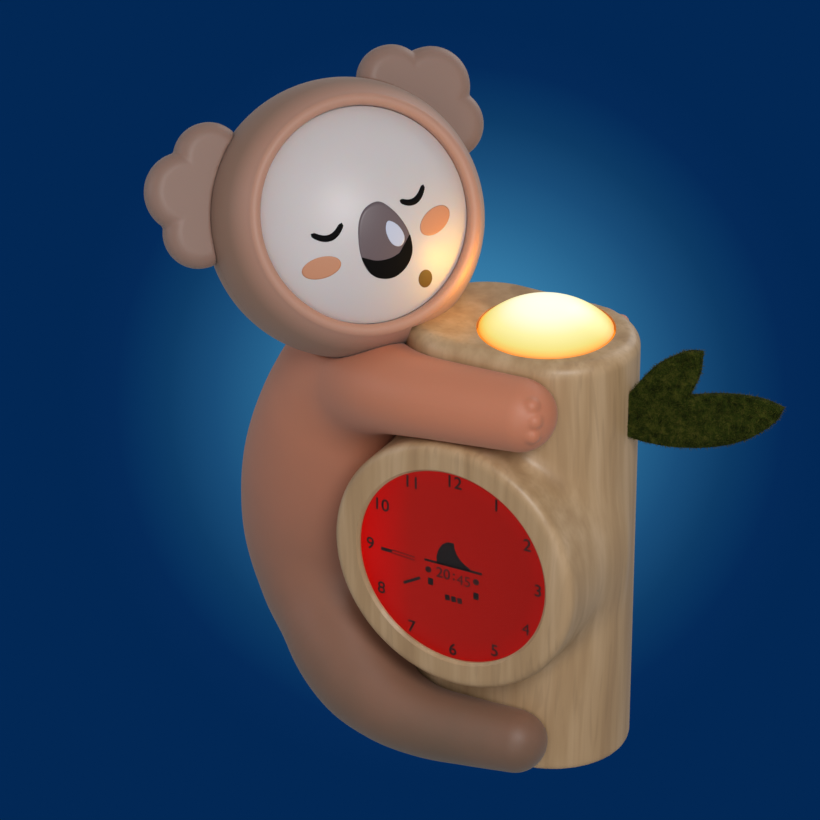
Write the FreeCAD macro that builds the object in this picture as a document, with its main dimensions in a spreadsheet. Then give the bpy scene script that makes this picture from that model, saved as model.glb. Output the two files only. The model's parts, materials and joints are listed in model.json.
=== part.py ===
# Kids alarm clock with night light: a koala hugs an upright wood-effect trunk.
# The frame: X to the right when facing the dial, -Y to the front, Z up. The origin lies on the
# vertical axis of the night light, on the surface that the rubber feet stand on.
import FreeCAD, Part
import math
import os
import re
import Sketcher
from FreeCAD import Matrix, Placement, Rotation, Vector

doc = FreeCAD.newDocument("kids_alarm_clock")

# Driving dimensions in millimetres and degrees. Each stands here once.
SIZES = {
    # trunk
    "foot_height": 1.0,
    "trunk_height": 131.0,
    "trunk_radius": 23.0,
    "trunk_half_span": 11.5,
    "trunk_x": -7.5,
    "trunk_wall": 2.2,
    "trunk_top_wall": 2.4,
    "trunk_edge_round": 4.0,
    # drum round the dial
    "dial_x": -11.1,
    "dial_height": 67.0,
    "dial_radius": 30.0,
    "drum_radius": 38.5,
    "drum_front": 34.5,
    "drum_lip": 1.4,
    "drum_edge_round": 2.8,
    "dial_bevel": 0.8,
    # display stack behind the dial opening
    "window_thickness": 1.5,
    "window_overlap": 2.4,
    "lcd_radius": 31.2,
    "lcd_thickness": 2.2,
    "backlight_thickness": 3.0,
    "frame_back": 2.0,
    "slip_gap": 0.1,
    # main board
    "board_width": 40.0,
    "board_height": 50.0,
    "board_thickness": 1.6,
    "board_post": 5.0,
    "post_radius": 2.4,
    "post_inset": 5.0,
    # base
    "base_thickness": 3.2,
    "base_gap": 0.15,
    "boss_radius": 3.2,
    "boss_height": 16.0,
    "boss_span": 48.0,
    "boss_depth": 25.0,
    "pilot_radius": 1.1,
    "screw_radius": 1.1,
    "screw_head_radius": 2.4,
    "screw_head_height": 1.4,
    "screw_length": 9.0,
    "pad_recess": 0.6,
    "pad_inset": 1.6,
    "pad_gap_left": 27.0,
    "pad_gap_right": 4.0,
    # battery compartment in the rear
    "door_width": 24.0,
    "cell_room": 9.3,
    "door_low": 27.8,
    "door_gap": 0.25,
    "door_thickness": 2.0,
    "hinge_pin_radius": 0.7,
    "hinge_pin_reach": 1.5,
    "hinge_pin_gap": 0.05,
    "cell_radius": 5.2,
    "cell_length": 43.7,
    "cell_pitch": 11.2,
    "cell_nub_radius": 1.9,
    "cell_nub": 0.8,
    "box_depth": 14.6,
    "box_wall": 1.5,
    "box_top_block": 5.0,
    "contact_radius": 3.4,
    # set buttons and slide switch in the rear
    "button_radius": 2.9,
    "button_gap": 0.25,
    "button_pitch": 8.0,
    "button_above_slide": 10.4,
    "button_proud": 1.2,
    "button_flange": 0.7,
    "button_flange_thickness": 1.2,
    "button_stem": 2.2,
    "button_travel": 1.0,
    "switch_body": 6.0,
    "switch_body_height": 3.4,
    "switch_plunger_radius": 1.7,
    "switch_plunger": 0.4,
    "key_board_width": 22.0,
    "key_board_height": 21.0,
    "slide_above_door": 4.4,
    "slide_slot_width": 8.4,
    "slide_slot_height": 3.2,
    "slide_skirt": 0.7,
    "slide_knob_width": 4.0,
    "slide_gap": 0.2,
    "slide_travel": 2.0,
    # speaker on the base plate
    "speaker_x": -15.5,
    "speaker_radius": 9.0,
    "speaker_depth": 6.0,
    "speaker_hole_radius": 1.0,
    "speaker_ring": 2.9,
    "gasket_thickness": 0.8,
    "collar_wall": 1.0,
    "collar_depth": 3.0,
    # night light
    "dome_radius": 19.0,
    "dome_height": 8.0,
    "dome_wall": 1.6,
    "dome_gap": 0.6,
    "dome_flange": 0.7,
    "dome_flange_thickness": 1.2,
    "dome_stop_gap": 0.2,
    "pad_height": 3.0,
    "pad_width": 1.6,
    "deck_thickness": 2.0,
    "cup_top_radius": 15.0,
    "cup_low_radius": 9.0,
    "cup_height": 8.0,
    "cup_wall": 1.2,
    "light_board_radius": 13.0,
    "led_width": 3.6,
    "led_height": 1.4,
    "led_ring": 5.0,
    # felt leaf
    "leaf_height": 110.7,
    "leaf_root": 13.6,
    "leaf_thickness": 2.6,
    "leaf_length": 46.6,
    "leaf_gap": 0.2,
    "leaf_tab": 5.0,
    "clip_wall": 1.2,
    # koala body
    "koala_wall": 2.2,
    "limb_front": 27.0,
    "rear_paw_short": 4.5,
    "rear_arm_low": 2.5,
    "limb_end_x": 6.5,
    "arm_height": 117.5,
    "arm_radius": 10.5,
    "leg_height": 11.5,
    "leg_radius": 9.4,
    "belly_x": -38.0,
    "torso_depth": 60.8,
    "torso_half_width": 24.5,
    "torso_low": 2.5,
    "torso_top": 122.0,
    "neck_x": -62.5,
    "neck_height": 98.5,
    "finger_radius": 2.6,
    "finger_proud": 0.9,
    "neck_radius": 7.0,
    "neck_below_head": 28.0,
    # koala head
    "head_x": -62.1,
    "head_y": -5.1,
    "head_height": 152.5,
    "head_radius": 39.8,
    "head_front_depth": 36.0,
    "head_rear_depth": 39.5,
    "head_wall": 2.2,
    "head_turn": 50.7,
    "head_tilt": 26.2,
    "head_roll": 14.0,
    "face_radius": 30.6,
    "face_gap": 0.35,
    "face_bulge": 11.0,
    "face_wall": 2.0,
    "face_flange": 1.5,
    "lip_width": 3.6,
    "lip_proud": 1.5,
    "lip_depth": 3.4,
    "ear_angle": 58.5,
    "ear_distance": 46.7,
    "ear_lobe": 11.8,
    "ear_side_lobe": 10.5,
    "ear_side_angle": 14.5,
    "ear_side_distance": 42.4,
    "ear_thickness": 10.0,
    "ear_back": -9.0,
}

sheet = doc.addObject("Spreadsheet::Sheet", "Sizes")
for row, (name, value) in enumerate(SIZES.items(), 1):
    sheet.set("A%d" % row, name)
    sheet.set("B%d" % row, str(value))
    sheet.setAlias("B%d" % row, name)
doc.recompute()
size = {name: float(sheet.get(name)) for name in SIZES}

# Formulas that several pieces share, written with the names above.
TRUNK_TOP = "(foot_height + trunk_height)"
INNER_RADIUS = "(trunk_radius - trunk_wall)"
DIAL_Z = "(foot_height + dial_height)"
LIP_BACK = "(drum_front - drum_lip)"
WINDOW_BACK = "(drum_front - drum_lip - window_thickness)"
LCD_BACK = "(drum_front - drum_lip - window_thickness - lcd_thickness)"
LIGHT_BACK = "(drum_front - drum_lip - window_thickness - lcd_thickness - backlight_thickness)"
FRAME_BACK = "(drum_front - drum_lip - window_thickness - lcd_thickness - backlight_thickness - frame_back)"
BOARD_FRONT = "(" + FRAME_BACK + " - board_post)"
BASE_TOP = "(foot_height + base_thickness)"
DOOR_LOW_Z = "(foot_height + door_low)"
CAVITY_LOW_Z = "(foot_height + door_low + box_wall)"
DOOR_HEIGHT = "(cell_length + cell_room)"
DOOR_TOP = "(foot_height + door_low + cell_length + cell_room)"
DOOR_MIDDLE = "(foot_height + door_low + (cell_length + cell_room) / 2)"
CAVITY_HEIGHT = "(cell_length + cell_room - box_wall - box_top_block)"
PIN_Z = "(foot_height + door_low + door_thickness / 2)"
PIN_Y = "(trunk_radius - door_thickness / 2)"
BOX_BACK = "(trunk_radius - trunk_wall)"
KEY_FLANGE_Y = "(trunk_radius - trunk_wall - slide_gap - button_flange_thickness)"
KEY_TOP_Y = "(" + KEY_FLANGE_Y + " - button_stem - button_travel - slip_gap)"
KEY_BOARD_Y = "(" + KEY_TOP_Y + " - switch_plunger - switch_body_height)"
SLIDE_Z = "(" + DOOR_TOP + " + slide_above_door)"
BUTTON_Z = "(" + SLIDE_Z + " + button_above_slide)"
CEILING = "(foot_height + trunk_height - trunk_top_wall)"
FLANGE_TOP = "(" + CEILING + " - dome_stop_gap)"
FLANGE_LOW = "(" + FLANGE_TOP + " - dome_flange_thickness)"
DECK_TOP = "(" + FLANGE_LOW + " - pad_height)"
DECK_LOW = "(" + DECK_TOP + " - deck_thickness)"
LEAF_Z = "(foot_height + leaf_height)"

WORD = re.compile(r"[a-z_]+")
nodes = []


def bind(item, path, formula):
    """Tie a property to the sheet; the words of the formula are its aliases."""
    named = WORD.sub(lambda found: "Sizes." + found.group() if found.group() in SIZES else found.group(),
                     str(formula))
    item.setExpression(path, named)


def keep(item, label):
    """Name a finished piece; the label is also its file's name."""
    item.Label = label
    nodes.append(item)
    return item


# Part primitives and booleans

ALONG = {
    "z": Rotation(),
    "x": Rotation(Vector(0, 1, 0), 90),
    "y": Rotation(Vector(1, 0, 0), -90),
    "front": Rotation(Vector(1, 0, 0), 90),
}


def primitive(kind, name, sizes, at, along="z"):
    item = doc.addObject("Part::" + kind, name)
    item.Placement = Placement(Vector(), ALONG[along])
    for path, formula in sizes.items():
        bind(item, path, formula)
    for axis, formula in zip("xyz", at):
        bind(item, "Placement.Base." + axis, formula)
    return item


def block(name, length, width, height, at):
    """A box; at is the middle in X and Y and the bottom in Z."""
    corner = ("%s - (%s) / 2" % (at[0], length), "%s - (%s) / 2" % (at[1], width), at[2])
    return primitive("Box", name, {"Length": length, "Width": width, "Height": height}, corner)


def rod(name, radius, length, at, along="z"):
    return primitive("Cylinder", name, {"Radius": radius, "Height": length}, at, along)


def cone(name, low_radius, high_radius, length, at, along="z"):
    radii = {"Radius1": low_radius, "Radius2": high_radius, "Height": length}
    return primitive("Cone", name, radii, at, along)


def fuse(name, items):
    item = doc.addObject("Part::MultiFuse", name)
    item.Shapes = items
    return item


def cut(name, base, tools):
    item = doc.addObject("Part::Cut", name)
    item.Base = base
    item.Tool = tools[0] if len(tools) == 1 else fuse(name + "_tools", tools)
    return item


def group(name, items):
    """Like pieces that stay separate solids in one node."""
    item = doc.addObject("Part::Compound", name)
    item.Links = items
    return item


# PartDesign bodies

def new_body(name):
    return doc.addObject("PartDesign::Body", name)


def new_sketch(body, role, at):
    """A sketch on one of the body's origin planes; at is the offset in the plane's own axes."""
    plane = next(part for part in body.Origin.OriginFeatures if getattr(part, "Role", "") == role)
    sketch = body.newObject("Sketcher::SketchObject", body.Name + "_sketch")
    sketch.AttachmentSupport = [(plane, "")]
    sketch.MapMode = "FlatFace"
    for axis, formula in zip("xyz", at):
        bind(sketch, "AttachmentOffset.Base." + axis, formula)
    return sketch


def circle(sketch, radius, across=None, upward=None, sides=(1, 1)):
    """A circle on the sketch's origin, or across and upward from it to the given sides."""
    index = sketch.addGeometry(Part.Circle(Vector(sides[0], sides[1], 0), Vector(0, 0, 1), 1.0))
    bind_last(sketch, Sketcher.Constraint("Radius", index, 1.0), radius)
    if across is None:
        sketch.addConstraint(Sketcher.Constraint("Coincident", index, 3, -1, 1))
        return
    for kind, formula, side in (("DistanceX", across, sides[0]), ("DistanceY", upward, sides[1])):
        if formula is None:
            on_axis = -2 if kind == "DistanceX" else -1
            sketch.addConstraint(Sketcher.Constraint("PointOnObject", index, 3, on_axis))
            continue
        ends = (-1, 1, index, 3) if side > 0 else (index, 3, -1, 1)
        bind_last(sketch, Sketcher.Constraint(kind, *ends, 1.0), formula)


def bind_last(sketch, constraint, formula):
    number = sketch.addConstraint(constraint)
    bind(sketch, "Constraints[%d]" % number, formula)


def rectangle(sketch, width, height):
    """A rectangle centred on the sketch's origin."""
    corners = [Vector(-1, -1, 0), Vector(1, -1, 0), Vector(1, 1, 0), Vector(-1, 1, 0)]
    first = sketch.GeometryCount
    for start, end in zip(corners, corners[1:] + corners[:1]):
        sketch.addGeometry(Part.LineSegment(start, end))
    for number in range(4):
        following = first + (number + 1) % 4
        sketch.addConstraint(Sketcher.Constraint("Coincident", first + number, 2, following, 1))
        kind = "Vertical" if number % 2 else "Horizontal"
        sketch.addConstraint(Sketcher.Constraint(kind, first + number))
    sketch.addConstraint(Sketcher.Constraint("Symmetric", first, 1, first + 1, 2, -1, 1))
    bind_last(sketch, Sketcher.Constraint("DistanceX", first, 1, first, 2, 2.0), width)
    bind_last(sketch, Sketcher.Constraint("DistanceY", first + 1, 1, first + 1, 2, 2.0), height)


def stadium(sketch, half_span, radius):
    """Two half circles joined by straight lines, centred on the sketch's origin."""
    up = Vector(0, 0, 1)
    quarter = math.pi / 2
    right = sketch.addGeometry(Part.ArcOfCircle(Part.Circle(Vector(2, 0, 0), up, 1), -quarter, quarter))
    left = sketch.addGeometry(Part.ArcOfCircle(Part.Circle(Vector(-2, 0, 0), up, 1), quarter, 3 * quarter))
    high = sketch.addGeometry(Part.LineSegment(Vector(2, 1, 0), Vector(-2, 1, 0)))
    low = sketch.addGeometry(Part.LineSegment(Vector(-2, -1, 0), Vector(2, -1, 0)))
    for first, second in ((right, high), (high, left), (left, low), (low, right)):
        sketch.addConstraint(Sketcher.Constraint("Tangent", first, 2, second, 1))
    sketch.addConstraint(Sketcher.Constraint("Equal", right, left))
    sketch.addConstraint(Sketcher.Constraint("Symmetric", right, 3, left, 3, -1, 1))
    sketch.addConstraint(Sketcher.Constraint("PointOnObject", right, 3, -1))
    bind_last(sketch, Sketcher.Constraint("Radius", right, 1.0), radius)
    bind_last(sketch, Sketcher.Constraint("DistanceX", -1, 1, right, 3, 2.0), half_span)


def feature(kind, body, sketch, length, reversed_side=False):
    """A pad grows along the sketch's normal and a pocket cuts against it, unless reversed."""
    item = body.newObject("PartDesign::" + kind, body.Name + "_" + kind.lower())
    item.Profile = sketch
    item.Reversed = reversed_side
    bind(item, "Length", length)
    doc.recompute()
    return item


def edges_where(shape, test):
    return ["Edge%d" % number for number, edge in enumerate(shape.Edges, 1) if test(edge)]


def dress(kind, body, base, radius, test):
    """A fillet or a chamfer on the edges of the base feature that pass the test."""
    item = body.newObject("PartDesign::" + kind, body.Name + "_" + kind.lower())
    item.Base = (base, edges_where(base.Shape, test))
    bind(item, "Radius" if kind == "Fillet" else "Size", radius)
    doc.recompute()
    return item


def all_points(edge, axis, value):
    low = getattr(edge.BoundBox, axis + "Min")
    high = getattr(edge.BoundBox, axis + "Max")
    return abs(low - value) < 0.01 and abs(high - value) < 0.01


def is_ring(edge, radius):
    return isinstance(edge.Curve, Part.Circle) and abs(edge.Curve.Radius - radius) < 0.01


def ring_pattern(body, hole, sketch, count):
    pattern = body.newObject("PartDesign::PolarPattern", body.Name + "_pattern")
    pattern.Originals = [hole]
    pattern.Axis = (sketch, ["N_Axis"])
    pattern.Angle = 360
    pattern.Occurrences = count
    body.Tip = pattern
    doc.recompute()
    return pattern


# Trunk housing: one moulded shell with the drum, its ceiling, screw bosses and rear openings.

trunk = new_body("trunk")
sketch = new_sketch(trunk, "XY_Plane", ("trunk_x", "0", "foot_height"))
stadium(sketch, "trunk_half_span", "trunk_radius")
block_pad = feature("Pad", trunk, sketch, "trunk_height")
top_z = size["foot_height"] + size["trunk_height"]
dress("Fillet", trunk, block_pad, "trunk_edge_round", lambda edge: all_points(edge, "Z", top_z))

sketch = new_sketch(trunk, "XZ_Plane", ("dial_x", DIAL_Z, "drum_front"))
circle(sketch, "drum_radius")
drum_pad = feature("Pad", trunk, sketch, "drum_front", True)
dress("Fillet", trunk, drum_pad, "drum_edge_round",
      lambda edge: is_ring(edge, size["drum_radius"]) and all_points(edge, "Y", -size["drum_front"]))

sketch = new_sketch(trunk, "XY_Plane", ("trunk_x", "0", "foot_height"))
stadium(sketch, "trunk_half_span", INNER_RADIUS)
feature("Pocket", trunk, sketch, "trunk_height - trunk_top_wall", True)

sketch = new_sketch(trunk, "XZ_Plane", ("dial_x", DIAL_Z, LIP_BACK))
circle(sketch, "drum_radius - trunk_wall")
feature("Pocket", trunk, sketch, LIP_BACK + " - trunk_wall")

sketch = new_sketch(trunk, "XZ_Plane", ("dial_x", DIAL_Z, "drum_front"))
circle(sketch, "dial_radius")
opening = feature("Pocket", trunk, sketch, "drum_lip")
dress("Chamfer", trunk, opening, "dial_bevel",
      lambda edge: is_ring(edge, size["dial_radius"]) and all_points(edge, "Y", -size["drum_front"]))

sketch = new_sketch(trunk, "XY_Plane", ("0", "0", TRUNK_TOP))
circle(sketch, "dome_radius + dome_gap")
feature("Pocket", trunk, sketch, "trunk_top_wall")

sketch = new_sketch(trunk, "YZ_Plane", ("0", LEAF_Z, "trunk_x + trunk_half_span + trunk_radius"))
rectangle(sketch, "leaf_thickness + 2 * leaf_gap", "leaf_root + 2 * leaf_gap")
feature("Pocket", trunk, sketch, "2 * trunk_wall")

REAR_START = "-" + INNER_RADIUS + " + trunk_wall / 2"
REAR_CUT = "2 * trunk_wall"
sketch = new_sketch(trunk, "XZ_Plane", ("trunk_x", DOOR_MIDDLE, REAR_START))
rectangle(sketch, "door_width + 2 * door_gap", DOOR_HEIGHT + " + 2 * door_gap")
feature("Pocket", trunk, sketch, REAR_CUT)

sketch = new_sketch(trunk, "XZ_Plane", ("trunk_x", BUTTON_Z, REAR_START))
for sides in ((1, 1), (1, -1), (-1, 1), (-1, -1)):
    circle(sketch, "button_radius + button_gap", "button_pitch / 2", "button_pitch / 2", sides)
feature("Pocket", trunk, sketch, REAR_CUT)

sketch = new_sketch(trunk, "XZ_Plane", ("trunk_x", SLIDE_Z, REAR_START))
rectangle(sketch, "slide_slot_width", "slide_slot_height")
feature("Pocket", trunk, sketch, REAR_CUT)

sketch = new_sketch(trunk, "XY_Plane", ("trunk_x", "0", BASE_TOP))
for sides in ((1, 1), (1, -1), (-1, 1), (-1, -1)):
    circle(sketch, "boss_radius", "boss_span / 2", "boss_depth / 2", sides)
feature("Pad", trunk, sketch, "boss_height")
sketch = new_sketch(trunk, "XY_Plane", ("trunk_x", "0", BASE_TOP))
for sides in ((1, 1), (1, -1), (-1, 1), (-1, -1)):
    circle(sketch, "pilot_radius", "boss_span / 2", "boss_depth / 2", sides)
feature("Pocket", trunk, sketch, "boss_height - trunk_wall", True)

sketch = new_sketch(trunk, "XY_Plane", ("0", "0", CEILING))
for side in (1, -1):
    circle(sketch, "boss_radius", "dome_radius + 3 * boss_radius", "boss_depth / 2 - slip_gap", (-1, side))
feature("Pad", trunk, sketch, CEILING + " - " + DECK_TOP, True)
sketch = new_sketch(trunk, "XY_Plane", ("0", "0", DECK_TOP))
for side in (1, -1):
    circle(sketch, "pilot_radius", "dome_radius + 3 * boss_radius", "boss_depth / 2 - slip_gap", (-1, side))
feature("Pocket", trunk, sketch, CEILING + " - " + DECK_TOP, True)

pin_span = "(door_width / 2 + door_gap + hinge_pin_reach)"
sketch = new_sketch(trunk, "YZ_Plane", (PIN_Y, PIN_Z, "trunk_x + " + pin_span))
circle(sketch, "hinge_pin_radius + hinge_pin_gap")
feature("Pocket", trunk, sketch, "2 * " + pin_span)
keep(trunk, "trunk_housing")

# Base plate: recesses for the end pads, screw holes, and the sound holes under the speaker.

base = new_body("base")
sketch = new_sketch(base, "XY_Plane", ("trunk_x", "0", "foot_height"))
stadium(sketch, "trunk_half_span", INNER_RADIUS + " - base_gap")
feature("Pad", base, sketch, "base_thickness")
for sides in ((1, 1), (1, -1), (-1, 1), (-1, -1)):
    for radius, depth in (("screw_radius + slip_gap", "base_thickness"),
                          ("screw_head_radius + slip_gap", "pad_recess + screw_head_height")):
        sketch = new_sketch(base, "XY_Plane", ("trunk_x", "0", "foot_height"))
        circle(sketch, radius, "boss_span / 2", "boss_depth / 2", sides)
        feature("Pocket", base, sketch, depth, True)
sketch = new_sketch(base, "XY_Plane", ("speaker_x", "0", "foot_height"))
circle(sketch, "speaker_hole_radius")
feature("Pocket", base, sketch, "base_thickness", True)
for ring, count in ((1, 6), (2, 12)):
    sketch = new_sketch(base, "XY_Plane", ("speaker_x", "0", "foot_height"))
    circle(sketch, "speaker_hole_radius", "%d * speaker_ring" % ring, None)
    hole = feature("Pocket", base, sketch, "base_thickness", True)
    ring_pattern(base, hole, sketch, count)
sketch = new_sketch(base, "XY_Plane", ("speaker_x", "0", BASE_TOP))
circle(sketch, "speaker_radius + slip_gap")
circle(sketch, "speaker_radius + slip_gap + collar_wall")
feature("Pad", base, sketch, "collar_depth")


def pad_shape(name, low, height, gap):
    """The stadium that the end pads are cut from, without its middle."""
    item = new_body(name)
    sketch = new_sketch(item, "XY_Plane", ("trunk_x", "0", low))
    stadium(sketch, "trunk_half_span", INNER_RADIUS + " - pad_inset + " + gap)
    feature("Pad", item, sketch, height)
    middle = "(pad_gap_left - 2 * %s - pad_gap_right)" % gap
    sketch = new_sketch(item, "XY_Plane", ("-pad_gap_right / 2 - pad_gap_left / 2", "0", low))
    rectangle(sketch, middle, "2 * trunk_radius")
    feature("Pocket", item, sketch, height, True)
    return item


pad_cutter = pad_shape("pad_cutter", "foot_height", "pad_recess", "slip_gap")
keep(cut("base_shape", base, [pad_cutter]), "base_plate")
keep(pad_shape("end_pads", "0", "foot_height + pad_recess", "0"), "rubber_pads")


def screw(name, x, y, z, along, length):
    """A pan-head screw; the point is the outer face of its head and along is its way in."""
    head = rod(name + "_head", "screw_head_radius", "screw_head_height", (x, y, z), along)
    shank = rod(name + "_shank", "screw_radius", length, (x, y, z), along)
    return fuse(name, [head, shank])


keep(group("base_screw_group", [
    screw("base_screw_%d%d" % (right, back),
          "trunk_x %s boss_span / 2" % ("+" if right else "-"),
          "0 %s boss_depth / 2" % ("+" if back else "-"), "foot_height + pad_recess", "z", "screw_length")
    for right in (0, 1) for back in (0, 1)]), "base_screws")

# Display stack: window, segment display, backlight and the frame that carries the main board.


def dial_disc(name, radius, thickness, front):
    return rod(name, radius, thickness, ("dial_x", "-" + front, DIAL_Z), "y")


keep(dial_disc("window", "dial_radius + window_overlap", "window_thickness", LIP_BACK), "dial_window")
keep(dial_disc("lcd", "lcd_radius", "lcd_thickness", WINDOW_BACK), "lcd_panel")
keep(dial_disc("backlight", "lcd_radius", "backlight_thickness", LCD_BACK), "lcd_backlight")

frame = new_body("frame")
sketch = new_sketch(frame, "XZ_Plane", ("dial_x", DIAL_Z, FRAME_BACK))
circle(sketch, "drum_radius - trunk_wall - slip_gap")
feature("Pad", frame, sketch, LIP_BACK + " - " + FRAME_BACK)
sketch = new_sketch(frame, "XZ_Plane", ("dial_x", DIAL_Z, LIP_BACK))
circle(sketch, "dial_radius + window_overlap + slip_gap")
feature("Pocket", frame, sketch, LIP_BACK + " - " + LIGHT_BACK)
sketch = new_sketch(frame, "XZ_Plane", ("dial_x", DIAL_Z, LIGHT_BACK))
rectangle(sketch, "dial_radius", "dial_radius / 2")
feature("Pocket", frame, sketch, "frame_back")
sketch = new_sketch(frame, "XZ_Plane", ("trunk_x", DIAL_Z, FRAME_BACK))
for sides in ((1, 1), (1, -1), (-1, 1), (-1, -1)):
    circle(sketch, "post_radius", "board_width / 2 - post_inset", "board_height / 2 - 2 * post_inset", sides)
feature("Pad", frame, sketch, "board_post", True)
keep(frame, "lcd_frame")

board_at = ("trunk_x", "-" + BOARD_FRONT + " + board_thickness / 2", DIAL_Z + " - board_height / 2")
board_holes = [
    rod("board_hole_%d%d" % (right, high), "screw_radius", "board_thickness",
        ("trunk_x %s (board_width / 2 - post_inset)" % ("+" if right else "-"), "-" + BOARD_FRONT,
         DIAL_Z + " %s (board_height / 2 - 2 * post_inset)" % ("+" if high else "-")), "y")
    for right in (0, 1) for high in (0, 1)]
board = block("board", "board_width", "board_thickness", "board_height", board_at)
keep(cut("board_shape", board, board_holes), "main_board")


def on_board(name, width, thickness, height, across, upward):
    """A component on the rear face of the main board."""
    return block(name, width, thickness, height,
                 ("trunk_x + " + across, "-" + BOARD_FRONT + " + board_thickness + %s / 2" % thickness,
                  DIAL_Z + " + " + upward))


keep(group("board_part_group", [
    on_board("clock_chip", "post_inset * 2", "board_thickness", "post_inset * 2", "0", "post_inset"),
    on_board("sound_chip", "post_inset", "board_thickness", "post_inset * 2", "post_inset * 2", "0 - post_inset * 3"),
    on_board("crystal_can", "post_inset / 2", "board_thickness", "post_inset", "0 - post_inset * 2", "0"),
    on_board("wire_socket", "post_inset * 2", "post_inset", "post_inset", "0 - post_inset", "0 - post_inset * 4"),
]), "board_parts")

keep(group("board_screw_group", [
    screw("board_screw_%d%d" % (right, high),
          "trunk_x %s (board_width / 2 - post_inset)" % ("+" if right else "-"),
          "-" + BOARD_FRONT + " + board_thickness + screw_head_height",
          DIAL_Z + " %s (board_height / 2 - 2 * post_inset)" % ("+" if high else "-"),
          "front", "screw_head_height + board_thickness")
    for right in (0, 1) for high in (0, 1)]), "board_screws")

# Battery compartment, open to the rear, with two cells, their contacts and the hinged door.

battery_box = new_body("battery_compartment")
sketch = new_sketch(battery_box, "XZ_Plane", ("trunk_x", DOOR_MIDDLE, "-" + BOX_BACK + " + slip_gap"))
rectangle(sketch, "door_width + 2 * box_wall", DOOR_HEIGHT + " + 2 * box_wall")
feature("Pad", battery_box, sketch, "box_depth")
cavity_middle = "(" + CAVITY_LOW_Z + " + " + CAVITY_HEIGHT + " / 2)"
sketch = new_sketch(battery_box, "XZ_Plane",
                    ("trunk_x", cavity_middle, "-" + BOX_BACK + " + slip_gap + box_depth - box_wall"))
rectangle(sketch, "door_width - box_wall", CAVITY_HEIGHT)
feature("Pocket", battery_box, sketch, "box_depth")
sketch = new_sketch(battery_box, "XZ_Plane",
                    ("trunk_x", DOOR_TOP + " - box_top_block / 2",
                     "-" + BOX_BACK + " + slip_gap + box_depth / 2"))
circle(sketch, "screw_radius + 4 * slip_gap")
feature("Pocket", battery_box, sketch, "box_depth")
keep(battery_box, "battery_box")

CELL_Y = "(" + BOX_BACK + " - slip_gap - box_depth + box_wall + cell_radius + slip_gap)"
CELL_LOW_Z = "(" + CAVITY_LOW_Z + " + (" + CAVITY_HEIGHT + " - cell_length - cell_nub) / 2)"
cells = []
contacts = []
for number, side in enumerate(("-", "+")):
    cell_x = "trunk_x %s cell_pitch / 2" % side
    can_low = CELL_LOW_Z if number else CELL_LOW_Z + " + cell_nub"
    nub_low = CELL_LOW_Z + " + cell_length" if number else CELL_LOW_Z
    can = rod("cell_can_%d" % number, "cell_radius", "cell_length", (cell_x, CELL_Y, can_low))
    nub = rod("cell_nub_%d" % number, "cell_nub_radius", "cell_nub", (cell_x, CELL_Y, nub_low))
    cells.append(fuse("cell_%d" % number, [can, nub]))
    contact_height = "(" + CAVITY_HEIGHT + " - cell_length - cell_nub) / 2"
    contacts.append(cone("contact_low_%d" % number, "contact_radius", "cell_nub_radius", contact_height,
                         (cell_x, CELL_Y, CAVITY_LOW_Z)))
    contacts.append(cone("contact_high_%d" % number, "cell_nub_radius", "contact_radius", contact_height,
                         (cell_x, CELL_Y, CELL_LOW_Z + " + cell_length + cell_nub")))
keep(group("cell_group", cells), "batteries")
keep(group("contact_group", contacts), "battery_contacts")

door = new_body("door")
sketch = new_sketch(door, "XZ_Plane", ("trunk_x", DOOR_MIDDLE, "-trunk_radius + door_thickness"))
rectangle(sketch, "door_width", DOOR_HEIGHT)
door_pad = feature("Pad", door, sketch, "door_thickness", True)
low_z = size["foot_height"] + size["door_low"]
dress("Fillet", door, door_pad, "door_thickness / 2 - slip_gap / 10", lambda edge: all_points(edge, "Z", low_z)
      and edge.BoundBox.XLength > 1)
sketch = new_sketch(door, "XZ_Plane",
                    ("trunk_x", DOOR_TOP + " - box_top_block / 2", "-trunk_radius"))
circle(sketch, "screw_head_radius + slip_gap")
feature("Pocket", door, sketch, "screw_head_height + slip_gap", True)
sketch = new_sketch(door, "XZ_Plane",
                    ("trunk_x", DOOR_TOP + " - box_top_block / 2", "-trunk_radius"))
circle(sketch, "screw_radius + slip_gap")
feature("Pocket", door, sketch, "door_thickness", True)
sketch = new_sketch(door, "YZ_Plane", (PIN_Y, PIN_Z, "trunk_x + " + pin_span + " - slip_gap"))
circle(sketch, "hinge_pin_radius")
feature("Pad", door, sketch, "2 * (" + pin_span + " - slip_gap)", True)
for line in range(5):
    sketch = new_sketch(door, "XZ_Plane",
                        ("trunk_x", DOOR_TOP + " - 2 * box_top_block - %d * box_wall * 2"
                         % line, "-trunk_radius"))
    rectangle(sketch, "door_width / 2", "box_wall")
    feature("Pocket", door, sketch, "door_thickness / 4", True)
keep(door, "battery_door")

screw_z = DOOR_TOP + " - box_top_block / 2"
door_screw = screw("door_screw", "trunk_x", "trunk_radius - slip_gap", screw_z, "front",
                   "door_thickness + 2 * screw_head_height")
keep(door_screw, "battery_door_screw")

# Rear controls: round keys on tact switches, and a slide switch.

key_board_at = ("trunk_x", KEY_BOARD_Y + " - board_thickness / 2",
                BUTTON_Z + " - key_board_height / 2 - button_flange")
keep(block("key_board_plate", "key_board_width", "board_thickness", "key_board_height", key_board_at),
     "key_board")

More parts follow.
